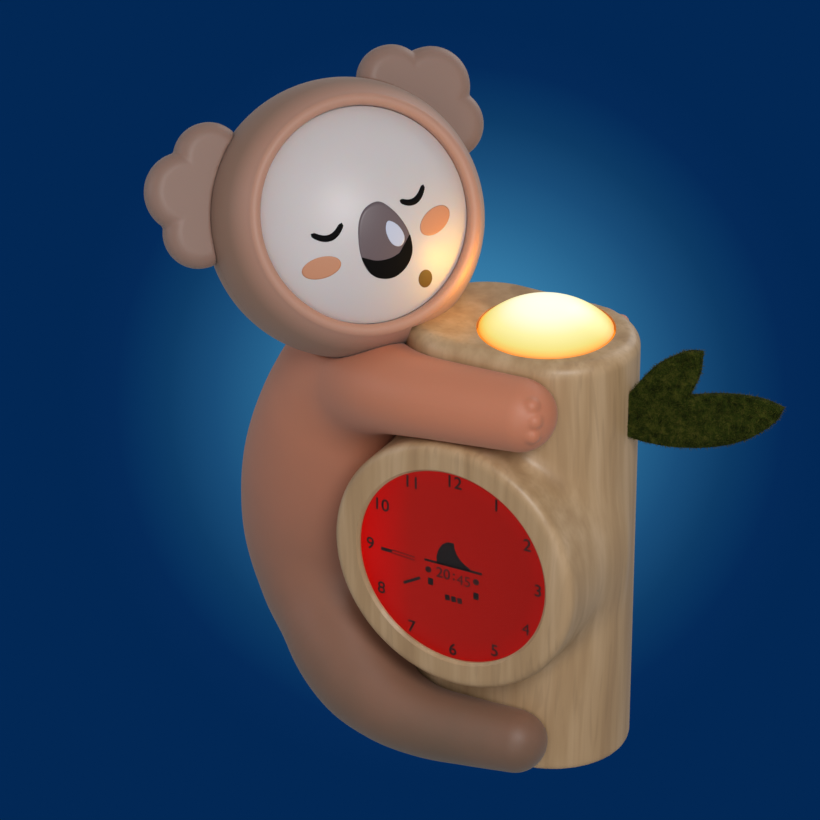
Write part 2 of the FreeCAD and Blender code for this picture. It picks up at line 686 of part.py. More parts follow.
switches = []
BUTTON_NAMES = ("hour_button", "minute_button", "alarm_button", "light_button")
for number, button_name in enumerate(BUTTON_NAMES):
    x = "trunk_x %s button_pitch / 2" % ("+-"[number % 2])
    z = BUTTON_Z + " %s button_pitch / 2" % ("+-"[number // 2])
    body_part = block("switch_body_%d" % number, "switch_body", "switch_body_height", "switch_body",
                      (x, KEY_BOARD_Y + " + switch_body_height / 2", z + " - switch_body / 2"))
    plunger = rod("switch_plunger_%d" % number, "switch_plunger_radius", "switch_body_height + switch_plunger",
                  (x, KEY_BOARD_Y, z), "y")
    switches.append(fuse("switch_%d" % number, [body_part, plunger]))
    flange_y = "trunk_radius - trunk_wall - slide_gap"
    cap = rod("cap_%d" % number, "button_radius", "trunk_wall + slide_gap + button_proud",
              (x, flange_y, z), "y")
    flange = rod("cap_flange_%d" % number, "button_radius + button_flange", "button_flange_thickness",
                 (x, flange_y + " - button_flange_thickness", z), "y")
    stem = rod("cap_stem_%d" % number, "switch_plunger_radius", "button_stem + button_flange_thickness",
               (x, flange_y + " - button_flange_thickness - button_stem", z), "y")
    cap_round = doc.addObject("Part::Fillet", "cap_round_%d" % number)
    cap_round.Base = cap
    doc.recompute()
    outer = [index for index, edge in enumerate(cap.Shape.Edges, 1)
             if edge.BoundBox.YLength < 0.01 and edge.BoundBox.YMax > size["trunk_radius"]]
    cap_round.Edges = [(index, size["button_proud"] / 2, size["button_proud"] / 2) for index in outer]
    keep(fuse(button_name + "_shape", [cap_round, flange, stem]), button_name)
keep(group("switch_group", switches), "key_switches")

knob_back = "trunk_radius - trunk_wall - slide_gap"
knob = block("knob_grip", "slide_knob_width", "trunk_wall + slide_gap + button_proud",
             "slide_slot_height - 2 * slide_gap",
             ("trunk_x - slide_travel", knob_back + " + (trunk_wall + slide_gap + button_proud) / 2",
              SLIDE_Z + " - slide_slot_height / 2 + slide_gap"))
skirt = block("knob_skirt", "slide_slot_width + 2 * slide_travel", "button_flange_thickness",
              "slide_slot_height + 2 * slide_skirt",
              ("trunk_x - slide_travel", knob_back + " - button_flange_thickness / 2",
               SLIDE_Z + " - slide_slot_height / 2 - slide_skirt"))
keep(fuse("slide_knob_shape", [knob, skirt]), "slide_knob")
slide_depth = "(" + knob_back + " - button_flange_thickness - slide_gap - " + KEY_BOARD_Y + ")"
keep(block("slide_switch_case", "slide_slot_width", slide_depth, "slide_slot_height + 2 * slide_skirt",
           ("trunk_x", KEY_BOARD_Y + " + " + slide_depth + " / 2",
            SLIDE_Z + " - slide_slot_height / 2 - slide_skirt")), "slide_switch")

# Speaker on its gasket, in the base plate's collar, facing down.

speaker_low = BASE_TOP + " + gasket_thickness"
rim = rod("speaker_rim", "speaker_radius", "speaker_depth * 0.2", ("speaker_x", "0", speaker_low))
basket = cone("basket", "speaker_radius", "speaker_radius * 0.6", "speaker_depth * 0.5",
              ("speaker_x", "0", speaker_low + " + speaker_depth * 0.2"))
magnet = rod("magnet", "speaker_radius * 0.5", "speaker_depth", ("speaker_x", "0", speaker_low))
keep(fuse("speaker_shape", [basket, rim, magnet]), "speaker")
gasket_outer = rod("gasket_outer", "speaker_radius", "gasket_thickness", ("speaker_x", "0", BASE_TOP))
gasket_hole = rod("gasket_hole", "speaker_radius * 0.8", "gasket_thickness", ("speaker_x", "0", BASE_TOP))
keep(cut("gasket_shape", gasket_outer, [gasket_hole]), "speaker_gasket")

# Night light: the pressed dome, its rubber return pad, the deck, reflector and light board.

dome_r = size["dome_radius"]
dome_h = size["dome_height"]
dome_wall = size["dome_wall"]
ball = (dome_r ** 2 + dome_h ** 2) / (2 * dome_h)
ceiling_drop = size["trunk_top_wall"] + size["dome_stop_gap"]
flange_low = ceiling_drop + size["dome_flange_thickness"]
flange_r = dome_r + size["dome_gap"] + size["dome_flange"]


def at(radius, height):
    return Vector(radius, 0, height)


def line(start, end):
    return Part.LineSegment(start, end).toShape()


def arc(start, middle, end):
    return Part.Arc(start, middle, end).toShape()


def turned(edges):
    """A solid of revolution about Z from the closed profile of the edges."""
    face = Part.Face(Part.Wire(edges))
    return face.revolve(Vector(), Vector(0, 0, 1), 360)


def cap_arc(radius, height, ball_radius):
    """The meridian of a spherical cap, from its rim at the height to its pole on the axis."""
    centre = height - math.sqrt(ball_radius ** 2 - radius ** 2)
    half = math.asin(radius / ball_radius) / 2
    middle = at(ball_radius * math.sin(half), centre + ball_radius * math.cos(half))
    return arc(at(radius, height), middle, at(0, centre + ball_radius))


def shape_node(label, shape, placement):
    item = doc.addObject("Part::Feature", label + "_shape")
    item.Shape = shape
    item.Placement = placement
    return keep(item, label)


inner_r = dome_r - dome_wall
inner_pole = dome_h - dome_wall
outer_cap = cap_arc(dome_r, 0, ball)
inner_ball = (inner_r ** 2 + inner_pole ** 2) / (2 * inner_pole)
inner_cap = cap_arc(inner_r, 0, inner_ball)
profile = [
    outer_cap,
    line(at(0, dome_h), at(0, inner_pole)),
    inner_cap,
    line(at(inner_r, 0), at(inner_r, -flange_low)),
    line(at(inner_r, -flange_low), at(flange_r, -flange_low)),
    line(at(flange_r, -flange_low), at(flange_r, -ceiling_drop)),
    line(at(flange_r, -ceiling_drop), at(dome_r, -ceiling_drop)),
    line(at(dome_r, -ceiling_drop), at(dome_r, 0)),
]
shape_node("night_light_dome", turned(profile), Placement(Vector(0, 0, top_z), Rotation()))

pad_outer = rod("pad_outer", "dome_radius", "pad_height", ("0", "0", DECK_TOP))
pad_inner = rod("pad_inner", "dome_radius - pad_width", "pad_height", ("0", "0", DECK_TOP))
keep(cut("pad_shape", pad_outer, [pad_inner]), "dome_return_pad")

deck = new_body("deck")
sketch = new_sketch(deck, "XY_Plane", ("trunk_x", "0", DECK_LOW))
stadium(sketch, "trunk_half_span", INNER_RADIUS + " - base_gap")
feature("Pad", deck, sketch, "deck_thickness")
sketch = new_sketch(deck, "XY_Plane", ("0", "0", DECK_LOW))
circle(sketch, "cup_top_radius + slip_gap")
feature("Pocket", deck, sketch, "deck_thickness", True)
sketch = new_sketch(deck, "XY_Plane", ("0", "0", DECK_LOW))
for side in (1, -1):
    circle(sketch, "screw_radius + slip_gap", "dome_radius + 3 * boss_radius",
           "boss_depth / 2 - slip_gap", (-1, side))
feature("Pocket", deck, sketch, "deck_thickness", True)
keep(deck, "light_deck")

keep(group("deck_screw_group", [
    screw("deck_screw_%d" % back, "-dome_radius - 3 * boss_radius",
          "0 %s (boss_depth / 2 - slip_gap)" % ("+" if back else "-"),
          DECK_LOW + " - screw_head_height", "z", "screw_head_height + deck_thickness + pad_height")
    for back in (0, 1)]), "deck_screws")

cup_outer = cone("cup_outer", "cup_low_radius + cup_wall", "cup_top_radius", "cup_height",
                 ("0", "0", DECK_TOP + " - cup_height"))
cup_inner = cone("cup_inner", "cup_low_radius", "cup_top_radius - cup_wall", "cup_height",
                 ("0", "0", DECK_TOP + " - cup_height"))
cup_rim = rod("cup_rim", "cup_top_radius + pad_width", "cup_wall / 2", ("0", "0", DECK_TOP))
cup_rim_hole = rod("cup_rim_hole", "cup_top_radius - cup_wall", "cup_wall / 2", ("0", "0", DECK_TOP))
keep(cut("cup_shape", fuse("cup_solid", [cup_outer, cup_rim]), [cup_inner, cup_rim_hole]), "reflector_cup")

BOARD_TOP = "(" + DECK_TOP + " - cup_height)"
keep(rod("light_board_disc", "light_board_radius", "board_thickness",
         ("0", "0", BOARD_TOP + " - board_thickness")), "light_board")
keep(group("led_group", [
    block("led_%d%d" % (right, back), "led_width", "led_width", "led_height",
          ("0 %s led_ring / 1.5" % ("+" if right else "-"),
           "0 %s led_ring / 1.5" % ("+" if back else "-"), BOARD_TOP))
    for right in (0, 1) for back in (0, 1)]), "light_leds")

# Felt leaf: two leaflets on one root that passes through the slot, held by a clip inside.

root = size["leaf_root"]
reach = size["leaf_length"] / 46.6
right_x = size["trunk_x"] + size["trunk_half_span"] + size["trunk_radius"]


def leaf_point(out, rise):
    return Vector(out * reach, 0, rise * reach)


def through(points):
    curve = Part.BSplineCurve()
    curve.interpolate(points)
    return curve.toShape()


upper_root = Vector(0, 0, root / 2)
lower_root = Vector(0, 0, -root / 2)
upper_tip = leaf_point(21.6, 24.9)
notch = leaf_point(18.2, 10.6)
lower_tip = leaf_point(46.6, 14.0)
leaf_edges = [
    through([upper_root, leaf_point(7.4, 16.9), leaf_point(16.2, 23.5), upper_tip]),
    through([upper_tip, leaf_point(20.9, 17.6), notch]),
    through([notch, leaf_point(28.5, 13.6), leaf_point(39.1, 15.0), lower_tip]),
    through([lower_tip, leaf_point(43.8, 8.6), leaf_point(35.7, 1.6), leaf_point(25.8, -3.2),
             leaf_point(15.1, -6.1), leaf_point(6.4, -7.0), lower_root]),
    line(lower_root, Vector(-size["leaf_tab"], 0, -root / 2)),
    line(Vector(-size["leaf_tab"], 0, -root / 2), Vector(-size["leaf_tab"], 0, root / 2)),
    line(Vector(-size["leaf_tab"], 0, root / 2), upper_root),
]
leaf_face = Part.Face(Part.Wire(leaf_edges))
leaf_solid = leaf_face.extrude(Vector(0, size["leaf_thickness"], 0))
shape_node("leaf", leaf_solid,
           Placement(Vector(right_x, -size["leaf_thickness"] / 2, size["foot_height"] + size["leaf_height"]),
                     Rotation()))

clip_x = "trunk_x + trunk_half_span + trunk_radius - leaf_tab / 2 - trunk_wall / 2 - 2 * slide_gap"
clip_block = block("clip_block", "leaf_tab - trunk_wall", "leaf_thickness + 4 * clip_wall",
                   "leaf_root - 2 * clip_wall", (clip_x, "0", LEAF_Z + " - leaf_root / 2 + clip_wall"))
clip_slot = block("clip_slot", "leaf_tab", "leaf_thickness", "leaf_root",
                  (clip_x, "0", LEAF_Z + " - leaf_root / 2"))
keep(cut("clip_shape", clip_block, [clip_slot]), "leaf_clip")

# Koala body: two moulded half shells, joined on the middle plane, each with an arm and a leg.

base_z = size["foot_height"]
wall = size["koala_wall"]
front = size["limb_front"]
end_x = size["limb_end_x"]
arm_z = base_z + size["arm_height"]
leg_z = base_z + size["leg_height"]
arm_r = size["arm_radius"]
leg_r = size["leg_radius"]
neck_base = Vector(size["neck_x"], 0, base_z + size["neck_height"])

# Torso levels as shares: of the height, of the depth at the back and at the belly, and of the width.
TORSO = (
    (0.000, 0.450, 0.130, 0.300), (0.017, 0.580, 0.060, 0.560), (0.054, 0.695, 0.025, 0.740),
    (0.121, 0.803, 0.010, 0.860), (0.213, 0.902, 0.000, 0.940), (0.331, 0.980, 0.000, 0.985),
    (0.464, 1.000, 0.000, 1.000), (0.598, 0.970, 0.000, 0.980), (0.715, 0.900, 0.000, 0.939),
    (0.816, 0.812, 0.009, 0.878), (0.900, 0.715, 0.035, 0.796), (0.967, 0.600, 0.106, 0.612),
    (1.000, 0.480, 0.213, 0.327),
)

# Limb stations from the tip: how far back, inward and inward along the height, and the added radii.
ARM = ((0, 0, 0, 0, 0), (15, -0.5, 1, 0.6, 0.4), (33, 1, 3, 1.6, 1.2), (46, 6, 6, 3.3, 2.6),
       (57, 14, 11, 5, 4.5), (66, 22, 18, 6, 6))
LEG = ((0, 0, 0, 0, 0), (14, -1.5, -0.6, 0.7, 0.5), (28, -2.5, -0.8, 1.6, 1.2), (42, -1, 1.4, 3.6, 2.8),
       (54, 4, 6, 6.4, 5.6), (64, 11, 13, 8.2, 7.8), (72, 18, 21, 8.4, 8.4))
SECTION_POINTS = 12
TIP_ANGLES = (80, 62, 43, 22)
LIMB_SECTIONS = 14


def oval(middle, normal, side, half_height, half_width):
    """A closed oval through evenly turned points, so that lofts of it don't twist."""
    points = []
    for number in range(SECTION_POINTS):
        angle = 2 * math.pi * number / SECTION_POINTS
        rise = normal * (half_height * math.cos(angle))
        points.append(middle + rise + side * (half_width * math.sin(angle)))
    curve = Part.BSplineCurve()
    curve.interpolate(Points=points, PeriodicFlag=True)
    return Part.Wire([curve.toShape()])


def torso(thinner):
    """The back and belly as a loft of level ovals; thinner takes a wall off all round."""
    low = base_z + size["torso_low"] + thinner
    high = base_z + size["torso_top"] - thinner
    wires = []
    for share, back_share, belly_share, width_share in TORSO:
        back_x = size["belly_x"] - size["torso_depth"] * back_share + thinner
        belly_x = size["belly_x"] - size["torso_depth"] * belly_share - thinner
        middle = Vector((back_x + belly_x) / 2, 0, low + (high - low) * share)
        wires.append(oval(middle, Vector(1, 0, 0), Vector(0, 1, 0), (belly_x - back_x) / 2,
                          size["torso_half_width"] * width_share - thinner))
    return Part.makeLoft(wires, True, False)


def limb(stations, tip_x, tip_z, radius, inward, thinner):
    """An arm or a leg as a loft from its rounded tip into the torso."""
    backs = [row[0] for row in stations]
    path = Part.BSplineCurve()
    path.interpolate(Points=[Vector(tip_x - back, -front + row[1], tip_z + inward * row[2])
                             for back, row in zip(backs, stations)], Parameters=backs)
    girth = Part.BSplineCurve()
    girth.interpolate(Points=[Vector(row[0], row[3], row[4]) for row in stations], Parameters=backs)
    tip = path.value(0)
    tip_r = radius - thinner
    wires = []
    for angle in TIP_ANGLES:
        share = math.cos(math.radians(angle)) * tip_r
        middle = tip + Vector(math.sin(math.radians(angle)) * tip_r, 0, 0)
        wires.append(oval(middle, Vector(0, 0, -1), Vector(0, 1, 0), share, share))
    for number in range(LIMB_SECTIONS + 1):
        back = backs[-1] * number / LIMB_SECTIONS
        tangent = path.tangent(back)[0] if number else Vector(-1, 0, 0)
        side = (Vector(0, 1, 0) - tangent * tangent.y).normalize()
        added = girth.value(back)
        wires.append(oval(path.value(back), tangent.cross(side), side, tip_r + added.y, tip_r + added.z))
    return Part.makeLoft(wires, True, False)


def cylinder(radius, length, base_point, direction):
    return Part.makeCylinder(radius, length, base_point, direction)


UP = Vector(0, 0, 1)
trunk_r = size["trunk_radius"]
span = size["trunk_half_span"]
trunk_x = size["trunk_x"]
trunk_h = size["trunk_height"]
right_end = Vector(trunk_x + span, 0, 0)
left_end = Vector(trunk_x - span, 0, 0)
across = Vector(0, trunk_r, 0)
outward = Vector(trunk_r, 0, 0)
outline = Part.Wire([
    arc(right_end - across, right_end + outward, right_end + across),
    line(right_end + across, left_end + across),
    arc(left_end + across, left_end - outward, left_end - across),
    line(left_end - across, right_end - across),
])
envelope = Part.Face(outline).extrude(Vector(0, 0, trunk_h + base_z))
dial_middle = Vector(size["dial_x"], 0, base_z + size["dial_height"])
drum_solid = cylinder(size["drum_radius"], size["drum_front"], dial_middle, Vector(0, -1, 0))

head_middle = Vector(size["head_x"], size["head_y"], base_z + size["head_height"])
head_turn = Rotation(Vector(0, 0, 1), size["head_turn"])
head_tilt = Rotation(Vector(1, 0, 0), 90 - size["head_tilt"])
head_roll = Rotation(Vector(0, 0, 1), size["head_roll"])
head_place = Placement(head_middle, head_turn.multiply(head_tilt).multiply(head_roll))
head_r = size["head_radius"]


def oval_point(radius, depth, angle):
    """A point of the head's meridian; the angle runs from the widest circle to the pole."""
    return at(radius * math.cos(math.radians(angle)), depth * math.sin(math.radians(angle)))


def oval_curve(radius, depth, angle_start, angle_end):
    steps = 6
    return through([oval_point(radius, depth, angle_start + (angle_end - angle_start) * number / steps)
                    for number in range(steps + 1)])


lip_outer = size["face_radius"] + size["lip_width"]
lip_angle = math.degrees(math.acos(lip_outer / head_r))
lip_point = oval_point(head_r, size["head_front_depth"], lip_angle)
lip_c = lip_point.z
head_back = size["head_rear_depth"]
head_solid = turned([
    oval_curve(head_r, size["head_front_depth"], 0, lip_angle),
    line(lip_point, at(0, lip_c)),
    line(at(0, lip_c), at(0, -head_back)),
    oval_curve(head_r, -head_back, 90, 0),
])
head_solid.Placement = head_place
seat_solid = turned([
    oval_curve(head_r + wall, size["head_front_depth"] + wall, 0, 90),
    line(at(0, size["head_front_depth"] + wall), at(0, -head_back - wall)),
    oval_curve(head_r + wall, -head_back - wall, 90, 0),
])
seat_solid.Placement = head_place

neck_length = size["head_height"] - size["neck_height"] - size["neck_below_head"]
neck_hole = cylinder(size["neck_radius"], neck_length, neck_base, UP)


def body_parts(tip_x, paw_z, thinner):
    arm = limb(ARM, tip_x, paw_z, arm_r, -1, thinner)
    leg = limb(LEG, tip_x, leg_z, leg_r, 1, thinner)
    return [torso(thinner), arm, leg]


def finger_bumps(tip_x, paw_z):
    bumps = []
    for rise, turn in ((22, 25), (0, 29), (-22, 25)):
        sideways = math.radians(turn)
        away = Vector(math.sin(sideways), -math.cos(sideways), math.sin(math.radians(rise))).normalize()
        distance = arm_r + size["finger_proud"] - size["finger_radius"]
        bumps.append(Part.makeSphere(size["finger_radius"], Vector(tip_x, -front, paw_z) + away * distance))
    return bumps


far = 2 * (trunk_h + head_r)
half_space = Part.makeBox(2 * far, far, 2 * far, Vector(-far, -far, -far))


def half_shell(tip_x, paw_z):
    """The hollow half of the body on the dial's side, with an arm that ends at tip_x and paw_z."""
    outer = body_parts(tip_x, paw_z, 0)
    inner = body_parts(tip_x, paw_z, wall)
    solid = outer[0].fuse(outer[1:] + finger_bumps(tip_x, paw_z)).common(half_space)
    solid = solid.cut(envelope).cut(head_solid)
    hollow = inner[0].fuse(inner[1:]).cut(seat_solid)
    return solid.cut(hollow).cut(neck_hole)


def biggest(shape):
    return max(shape.Solids, key=lambda solid: solid.Volume)


front_half = biggest(half_shell(end_x, arm_z).cut(drum_solid))
rear_paw = half_shell(end_x - size["rear_paw_short"], arm_z - size["rear_arm_low"])
rear_half = biggest(rear_paw.mirror(Vector(), Vector(0, 1, 0)))
shape_node("koala_front_shell", front_half, Placement())
shape_node("koala_rear_shell", rear_half, Placement())

neck = rod("neck_rod", "neck_radius", "head_height - neck_height - neck_below_head",
           ("neck_x", "0", "foot_height + neck_height"))
keep(neck, "neck_post")

# Koala head: front shell with the raised lip, rear shell, the domed face and two lobed ears.

head_wall = size["head_wall"]
lip_inner = size["face_radius"]
seat_c = lip_c - size["lip_depth"]
inside_r = head_r - head_wall
inside_front = size["head_front_depth"] - head_wall
seat_angle = math.degrees(math.asin(seat_c / inside_front))
seat_point = oval_point(inside_r, inside_front, seat_angle)
lip_top = at((lip_outer + lip_inner) / 2, lip_c + size["lip_proud"])
trunk_cutter = envelope.copy()
trunk_cutter.transformShape(head_place.inverse().Matrix)
neck_cutter = cylinder(size["neck_radius"], neck_length, neck_base, UP)
neck_cutter.transformShape(head_place.inverse().Matrix)

front_profile = [
    oval_curve(head_r, size["head_front_depth"], 0, lip_angle),
    arc(lip_point, lip_top, at(lip_inner, lip_c)),
    line(at(lip_inner, lip_c), at(lip_inner, seat_c)),
    line(at(lip_inner, seat_c), seat_point),
    oval_curve(inside_r, inside_front, seat_angle, 0),
    line(at(inside_r, 0), at(head_r, 0)),
]
rear_profile = [
    oval_curve(head_r, -head_back, 0, 90),
    line(at(0, -head_back), at(0, -head_back + head_wall)),
    oval_curve(inside_r, -head_back + head_wall, 90, 0),
    line(at(inside_r, 0), at(head_r, 0)),
]
shape_node("head_front_shell", biggest(turned(front_profile).cut(trunk_cutter)), head_place)
shape_node("head_rear_shell", biggest(turned(rear_profile).cut(trunk_cutter).cut(neck_cutter)), head_place)

plate_r = lip_inner - size["face_gap"]
flange_radius = lip_inner + size["face_flange"]
bulge = size["face_bulge"]
face_wall = size["face_wall"]
plate_ball = (plate_r ** 2 + bulge ** 2) / (2 * bulge)
rim_c = seat_c + size["lip_depth"] / 2
under_c = seat_c - face_wall
inner_plate_r = plate_r - face_wall
inner_plate_ball = (inner_plate_r ** 2 + bulge ** 2) / (2 * bulge)
face_profile = [
    cap_arc(plate_r, rim_c, plate_ball),
    line(at(0, rim_c + bulge), at(0, rim_c + bulge - face_wall)),
    cap_arc(inner_plate_r, rim_c - face_wall, inner_plate_ball),
    line(at(plate_r - face_wall, rim_c - face_wall), at(plate_r - face_wall, under_c)),
    line(at(plate_r - face_wall, under_c), at(flange_radius, under_c)),
    line(at(flange_radius, under_c), at(flange_radius, seat_c)),
    line(at(flange_radius, seat_c), at(plate_r, seat_c)),
    line(at(plate_r, seat_c), at(plate_r, rim_c)),
]
shape_node("face_plate", biggest(turned(face_profile).cut(trunk_cutter)), head_place)


def rounded_disc(radius, thickness, middle):
    """A disc whose rim is a full round."""
    edge_r = thickness / 2 - 0.05
    disc = Part.makeCylinder(radius, thickness, middle)
    return disc.makeFillet(edge_r, [edge for edge in disc.Edges if edge.Length > 2 * radius + 1
                                    and edge.BoundBox.ZLength < 0.01])


def ear(side):
    """Three round lobes on a root, cut to the head's surface; side is -1 left and 1 right."""
    parts = []
    side_lobe = (size["ear_side_distance"], size["ear_side_lobe"])
    lobes = [(0, size["ear_distance"], size["ear_lobe"])]
    lobes += [(turn,) + side_lobe for turn in (size["ear_side_angle"], -size["ear_side_angle"])]
    for turn, distance, radius in lobes:
        angle = math.radians(size["ear_angle"] + turn)
        middle = Vector(side * distance * math.sin(angle), distance * math.cos(angle), size["ear_back"])
        parts.append(rounded_disc(radius, size["ear_thickness"], middle))
    local_head = head_solid.copy()
    local_head.Placement = Placement()
    return biggest(parts[0].fuse(parts[1:]).cut(local_head))


shape_node("ear_left", ear(-1), head_place)
shape_node("ear_right", ear(1), head_place)

doc.recompute()
faults = []
for item in doc.Objects:
    if "Invalid" in item.State or "Error" in item.State:
        faults.append(item.Label + ": " + ", ".join(item.State))
for item in nodes:
    if item.Shape.isNull() or not item.Shape.isValid() or not item.Shape.Solids:
        faults.append(item.Label + ": no valid solid")
if faults:
    raise RuntimeError("\n".join(faults))

os.makedirs("parts", exist_ok=True)
triangles = 0
for item in nodes:
    item.Shape.exportStep("parts/%s.step" % item.Label)
    triangles += len(item.Shape.tessellate(0.1)[1])
print(len(nodes), "nodes,", triangles, "triangles at 0.1 mm")
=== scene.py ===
import json
import math
import bmesh
import bpy
import numpy as np
import openvdb
from mathutils import Matrix, Vector


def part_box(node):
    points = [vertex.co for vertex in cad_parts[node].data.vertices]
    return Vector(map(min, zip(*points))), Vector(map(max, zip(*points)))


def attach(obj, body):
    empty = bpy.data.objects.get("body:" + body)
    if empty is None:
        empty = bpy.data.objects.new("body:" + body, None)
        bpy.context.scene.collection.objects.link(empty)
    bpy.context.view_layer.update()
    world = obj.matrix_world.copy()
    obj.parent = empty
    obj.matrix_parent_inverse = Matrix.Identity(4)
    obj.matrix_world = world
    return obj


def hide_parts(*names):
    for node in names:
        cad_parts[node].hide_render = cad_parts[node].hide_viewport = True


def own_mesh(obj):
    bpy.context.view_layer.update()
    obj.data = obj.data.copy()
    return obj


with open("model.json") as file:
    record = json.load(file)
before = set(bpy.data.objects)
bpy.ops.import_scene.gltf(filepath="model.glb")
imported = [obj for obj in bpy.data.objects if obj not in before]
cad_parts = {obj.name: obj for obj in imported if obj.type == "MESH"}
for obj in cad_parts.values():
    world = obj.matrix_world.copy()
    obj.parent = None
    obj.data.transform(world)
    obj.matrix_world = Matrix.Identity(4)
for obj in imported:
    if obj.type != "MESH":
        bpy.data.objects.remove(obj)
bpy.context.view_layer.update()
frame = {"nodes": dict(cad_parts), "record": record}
nodes = frame["nodes"]

# Trunk housing: the upright oval log with the round dial drum on its front. Moulded plastic with
# a printed beech grain; it is one hollow piece that everything else is fixed to.
MM = 0.001


def at_node(name):
    """The lowest and highest corner of a CAD node, in millimetres."""
    low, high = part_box(name)
    return low / MM, high / MM


def cells(low, high, step):
    """Sparse coordinates of a regular grid over a box, in millimetres."""
    axes = [np.arange(low[axis], high[axis] + step, step, dtype=np.float32) for axis in range(3)]
    return np.meshgrid(*axes, indexing="ij", sparse=True)


def joined(first, second, radius):
    """The union of two distance fields, with a fillet of about the radius between them."""
    share = np.clip(0.5 + 0.5 * (second - first) / radius, 0, 1)
    return second * (1 - share) + first * share - radius * share * (1 - share)


def without(first, second, radius):
    """The first field less the second, with the edge rounded to about the radius."""
    return -joined(-first, second, radius)


def to_mesh(name, points, faces):
    """A smooth-shaded closed mesh object from points in millimetres, its faces turned outwards."""
    mesh = bpy.data.meshes.new(name)
    mesh.from_pydata((np.asarray(points) * MM).tolist(), [], [list(face) for face in faces])
    work = bmesh.new()
    work.from_mesh(mesh)
    bmesh.ops.remove_doubles(work, verts=work.verts, dist=1e-7)
    bmesh.ops.recalc_face_normals(work, faces=work.faces)
    if work.calc_volume(signed=True) < 0:
        bmesh.ops.reverse_faces(work, faces=work.faces)
    work.to_mesh(mesh)
    work.free()
    mesh.shade_smooth()
    item = bpy.data.objects.new(name, mesh)
    bpy.context.scene.collection.objects.link(item)
    return item


def skin(name, field, low, step):
    """The zero surface of a distance field on a grid that starts at low."""
    volume = openvdb.FloatGrid(3 * step)
    volume.copyFromArray(np.clip(field, -3 * step, 3 * step).astype(np.float32))
    points, quads = volume.convertToQuads(isovalue=0.0)
    return to_mesh(name, points * step + np.asarray(low), quads.tolist())


def lathe(name, profile, segments=160):
    """A closed profile of (radius, height) points turned about Z; points on the axis are poles."""
    points = []
    rings = []
    for radius, height in profile:
        if radius < 1e-6:
            rings.append([len(points)])
            points.append((0, 0, height))
            continue
        rings.append(list(range(len(points), len(points) + segments)))
        for number in range(segments):
            angle = 2 * math.pi * number / segments
            points.append((radius * math.cos(angle), radius * math.sin(angle), height))
    faces = []
    closed = len(rings[0]) > 1 or len(rings[-1]) > 1
    for number in range(len(rings) if closed else len(rings) - 1):
        here, after = rings[number], rings[(number + 1) % len(rings)]
        for step in range(segments):
            turn = (step + 1) % segments
            if len(here) == 1 and len(after) == 1:
                continue
            if len(here) == 1:
                faces.append((here[0], after[step], after[turn]))
            elif len(after) == 1:
                faces.append((here[step], here[turn], after[0]))
            else:
                faces.append((here[step], here[turn], after[turn], after[step]))
    return to_mesh(name, points, faces)


def prism(name, outline, low, high):
    """An outline of (x, y) points drawn up from the low height to the high one."""
    count = len(outline)
    points = [(x, y, low) for x, y in outline] + [(x, y, high) for x, y in outline]
    faces = [tuple(range(count)), tuple(range(count, 2 * count))]
    faces += [(n, (n + 1) % count, count + (n + 1) % count, count + n) for n in range(count)]
    return to_mesh(name, points, faces)


def oblong(radius, half_span, middle_x=0, steps=48):
    """The outline of a slot: two half circles joined by straight sides along X."""
    outline = []
    for side, start in ((1, -90), (-1, 90)):
        for number in range(steps + 1):
            angle = math.radians(start + 180 * number / steps)
            outline.append((middle_x + side * half_span + radius * math.cos(angle), radius * math.sin(angle)))
    return outline


def block(name, low, high):
    """A box between two corners."""
    corners = [(low[0], low[1]), (high[0], low[1]), (high[0], high[1]), (low[0], high[1])]
    return prism(name, corners, low[2], high[2])


def moved(item, matrix):
    """The item's mesh turned and shifted in millimetres, with its object left at the origin."""
    item.data.transform(Matrix.Scale(MM, 4) @ matrix @ Matrix.Scale(1 / MM, 4))
    return item


def settled(item, sharp_angle=35):
    """The item with its modifiers applied and its edges marked sharp past the angle."""
    bpy.context.view_layer.update()
    mesh = bpy.data.meshes.new_from_object(item.evaluated_get(bpy.context.evaluated_depsgraph_get()))
    item.modifiers.clear()
    item.data = mesh
    mesh.materials.clear()
    mesh.polygons.foreach_set("material_index", [0] * len(mesh.polygons))
    mesh.shade_smooth()
    mesh.set_sharp_from_angle(angle=math.radians(sharp_angle))
    return item


def carved(item, cutters, sharp_angle=35):
    """The item less the cutters, which are used up."""
    for cutter in cutters:
        modifier = item.modifiers.new("Cut", "BOOLEAN")
        modifier.operation = "DIFFERENCE"
        modifier.solver = "MANIFOLD"
        modifier.object = cutter
    settled(item, sharp_angle)
    for cutter in cutters:
        bpy.data.objects.remove(cutter)
    return item


def sit(item, body, slot, *cad_nodes):
    """The finished piece rides on the body and stands for the CAD nodes, which are hidden; the slot is not
    used.
    """
    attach(item, body)
    if cad_nodes:
        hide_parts(*cad_nodes)


def colour(code):
    """Linear RGBA from an sRGB hex code such as c9a27c."""
    parts = [int(code[place:place + 2], 16) / 255 for place in (0, 2, 4)]
    linear = [part / 12.92 if part <= 0.04045 else ((part + 0.055) / 1.055) ** 2.4 for part in parts]
    return (*linear, 1)


def node(tree, kind, inputs=None, stops=(), **settings):
    """A node with its settings; an input is linked if it is a socket and set otherwise. The stops
    of a colour ramp are pairs of a position and a hex code."""
    item = tree.nodes.new(kind)
    for name, value in settings.items():
        setattr(item, name, value)
    for name, value in (inputs or {}).items():
        if isinstance(value, bpy.types.NodeSocket):
            tree.links.new(value, item.inputs[name])
        else:
            item.inputs[name].default_value = value
    if stops:
        elements = item.color_ramp.elements
        while len(elements) < len(stops):
            elements.new(0.5)
        for element, (position, code) in zip(elements, stops):
            element.position = position
            element.color = colour(code)
    return item


